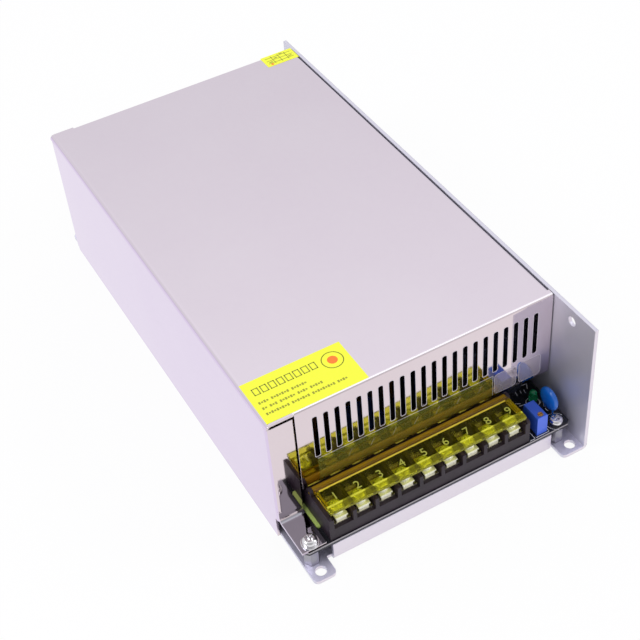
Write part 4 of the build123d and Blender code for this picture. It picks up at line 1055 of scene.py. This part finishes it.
film = dict(
    thickness=0.03,
    line=0.13,
    left=18.8,
    right=96.3,
    low=25.0,
    high=36.6,
    endHigh=35.7,
    corner=1.6,
    cells=((97.0, 107.3), (108.5, 118.8)),
    poleMark=((3.4, 30.0), (5.0, 33.2)),
    cellMark=((3.0, 28.5), (6.8, 32.0)),
)
filmLooks = {
    "filmStrip": dict(colour=(0.36, 0.41, 0.07), alpha=0.15, roughness=0.2),
    "filmCells": dict(colour=(0.66, 0.61, 0.70), alpha=0.30, roughness=0.3),
    "filmMarks": dict(colour=(0.80, 0.78, 0.84), alpha=0.3, roughness=0.2),
    "filmEdges": dict(colour=(0.80, 0.78, 0.84), alpha=0.75, roughness=0.2),
}
upright = Matrix.Translation((0, panelY, 0)) @ Matrix.Rotation(math.pi / 2, 4, "X")


def filmFinish(name, colour, alpha, roughness):
    made = Finish(name, colour, roughness, Alpha=alpha)
    cloud = made.grain(3, 2)
    made.shades(cloud, colour, tuple(min(c * 1.12, 1.0) for c in colour))
    made.wear(cloud, roughness, -0.04, 0.06)
    made.surface(cloud, 0.01)
    return made.material


def filmLine(shape, points):
    shape.line(points, film["line"], film["thickness"], film["thickness"] + 0.03, upright)


filmShapes = {name: Shape() for name in filmLooks}
x0, x1, z0 = left + film["left"], left + film["right"], film["low"]
stripOutline = [(x0, z0), (x1, z0), (x1, film["endHigh"]), (x0, film["high"])]
filmShapes["filmStrip"].prism(stripOutline, -0.01, film["thickness"], upright)
filmLine(filmShapes["filmEdges"], [(x0, film["high"]), (x1, film["endHigh"]), (x1, z0)])
for x in poles[1:-1]:
    filmLine(filmShapes["filmMarks"], offsets(x, 0, *film["poleMark"]))
for start, end in film["cells"]:
    middle = left + (start + end) / 2, (film["low"] + film["endHigh"]) / 2
    half = (end - start) / 2, (film["endHigh"] - film["low"]) / 2
    outline = roundedBox(*middle, *half, film["corner"], film["corner"], 6)
    filmShapes["filmCells"].prism(outline, -0.01, film["thickness"], upright)
    filmLine(filmShapes["filmEdges"], outline + outline[:1])
    filmLine(filmShapes["filmMarks"], offsets(left + start, 0, *film["cellMark"]))
for name, settings in filmLooks.items():
    dress(filmShapes[name].done(name), filmFinish(name, **settings))
print("film on the panel")


# Pale edges of the panel's slots

slotRim = dict(
    width=2.1, low=37.7, high=59.0, corner=0.65, border=0.16, proud=0.03, count=22, first=-43.5, pitch=4.595
)


def rimShape(settings):
    # One slot's edge, round the origin at the middle of the slot
    corner, shape = settings["corner"], Shape()
    half = settings["width"] / 2, (settings["high"] - settings["low"]) / 2
    rings = [roundedBox(0, 0, *half, corner, corner + grow, 4) for grow in (-0.02, settings["border"])]
    layers = []
    for y in (0.02, -settings["proud"]):
        layers.append([[shape.mesh.verts.new((x, y, z)) for x, z in ring] for ring in rings])
    (backInner, backOuter), (frontInner, frontOuter) = layers
    count = len(rings[0])
    for k in range(count):
        n = (k + 1) % count
        shape.mesh.faces.new((frontInner[k], frontOuter[k], frontOuter[n], frontInner[n]))
        shape.mesh.faces.new((backInner[k], backInner[n], backOuter[n], backOuter[k]))
        shape.mesh.faces.new((frontInner[k], frontInner[n], backInner[n], backInner[k]))
        shape.mesh.faces.new((frontOuter[k], backOuter[k], backOuter[n], frontOuter[n]))
    return shape.done("slotRim")


rimMiddle = (slotRim["low"] + slotRim["high"]) / 2
rimPlaces = [(slotRim["first"] + slotRim["pitch"] * k, panelY, rimMiddle) for k in range(slotRim["count"])]
rimFinish = filmFinish("slotRimPale", (0.70, 0.66, 0.73), 1.0, 0.35)
dress(repeat("slotRims", rimShape(slotRim), rimPlaces, rimFinish), rimFinish)
print("slot rims")


# Floor, light and camera

studio = dict(
    floor=3.0,
    white=(1.0, 1.0, 1.0, 1.0),
    ambient=0.85,
    tint=(0.97, 0.96, 1.0, 1.0),
    shadow=0.92,
    fall=0.16,
    horizon=(0.55, 0.76),
    dark=0.48,
    darkSide=(-0.32, -0.66, 0.68),
    darkSpread=(0.6, 0.95),
)

floorMesh = bpy.data.meshes.new("floor")
reach = studio["floor"]
floorCorners = [(-reach, -reach, 0), (reach, -reach, 0), (reach, reach, 0), (-reach, reach, 0)]
floorMesh.from_pydata(floorCorners, [], [(0, 1, 2, 3)])
floor = shown("floor", floorMesh)
floorFinish = Finish("paleFloor", (0.93, 0.93, 0.94), 0.7)
floorFinish.shades(floorFinish.grain(40, 2), (0.92, 0.92, 0.93), (0.95, 0.95, 0.96))
glow = floorFinish.node("ShaderNodeEmission", {"Color": studio["white"], "Strength": 1.0})
floorFinish.mix(floorFinish.seenRays() * studio["shadow"], glow)
floorMesh.materials.append(floorFinish.material)

world = bpy.data.worlds.new("studio")
world.use_nodes = True
bpy.context.scene.world = world
sky = Nodes(world.node_tree)
sky.tree.nodes.clear()
toward = sky.node("ShaderNodeTexCoord", output="Generated")
# The backdrop that bright metal mirrors falls off a little towards the horizon
fall = sky.between(sky.part(toward, 2), *studio["horizon"], studio["fall"], 0.0)
# It is also darker on the side that the photograph is taken from
side = sky.node("ShaderNodeVectorMath", {0: toward, 1: studio["darkSide"]}, "Value", operation="DOT_PRODUCT")
dusk = sky.between(side, *studio["darkSpread"], 0.0, studio["dark"], interpolation_type="SMOOTHSTEP")
mirrored = sky.ray("Glossy")
strength = (1 - mirrored * fall) * (1 - mirrored * dusk)
backdrop = sky.node("ShaderNodeBackground", {"Color": studio["white"], "Strength": strength})
light = sky.node("ShaderNodeBackground", {"Color": studio["tint"], "Strength": studio["ambient"]})
choice = sky.node("ShaderNodeMixShader", {0: sky.seenRays(), 1: light, 2: backdrop})
sky.node("ShaderNodeOutputWorld", {"Surface": choice})

softboxes = {
    "leftSoftbox": dict(place=(-1.0, 0.1, 1.0), size=0.5, power=4.0),
    "rightSoftbox": dict(place=(1.0, -0.5, 0.9), size=0.5, power=3.0),
}
for name, settings in softboxes.items():
    softbox = bpy.data.lights.new(name, "AREA")
    softbox.size = settings["size"]
    softbox.energy = settings["power"]
    place = Vector(settings["place"])
    aim = (-place).to_track_quat("-Z", "Y").to_matrix().to_4x4()
    shown(name, softbox).matrix_world = Matrix.Translation(place) @ aim

photoView = dict(
    azimuth=-25.806,
    elevation=43.56,
    roll=-5.395,
    focal=1341.846,
    image=640,
    sensor=36.0,
    middle=(0.0, 9.7, 32.5),
    offset=(-14.143, 23.664, -576.725),
    clip=(0.02, 20),
)
azimuth, elevation, roll = (math.radians(photoView[key]) for key in ("azimuth", "elevation", "roll"))
level = math.cos(elevation)
backward = Vector((math.sin(azimuth) * level, -math.cos(azimuth) * level, math.sin(elevation)))
across = Vector((math.cos(azimuth), math.sin(azimuth), 0))
upward = backward.cross(across)
axes = (
    across * math.cos(roll) + upward * math.sin(roll),
    upward * math.cos(roll) - across * math.sin(roll),
    backward,
)
eye = Vector(photoView["middle"])
for axis, distance in zip(axes, photoView["offset"]):
    eye -= axis * distance
camera = bpy.data.cameras.new("camera")
camera.sensor_width = photoView["sensor"]
camera.lens = photoView["focal"] / photoView["image"] * photoView["sensor"]
camera.clip_start, camera.clip_end = photoView["clip"]
cameraObject = shown("camera", camera)
cameraObject.matrix_world = Matrix.Translation(eye * mm) @ Matrix(axes).transposed().to_4x4()
bpy.context.scene.camera = cameraObject
bpy.context.scene.view_settings.view_transform = "Standard"
print("floor, light and camera")
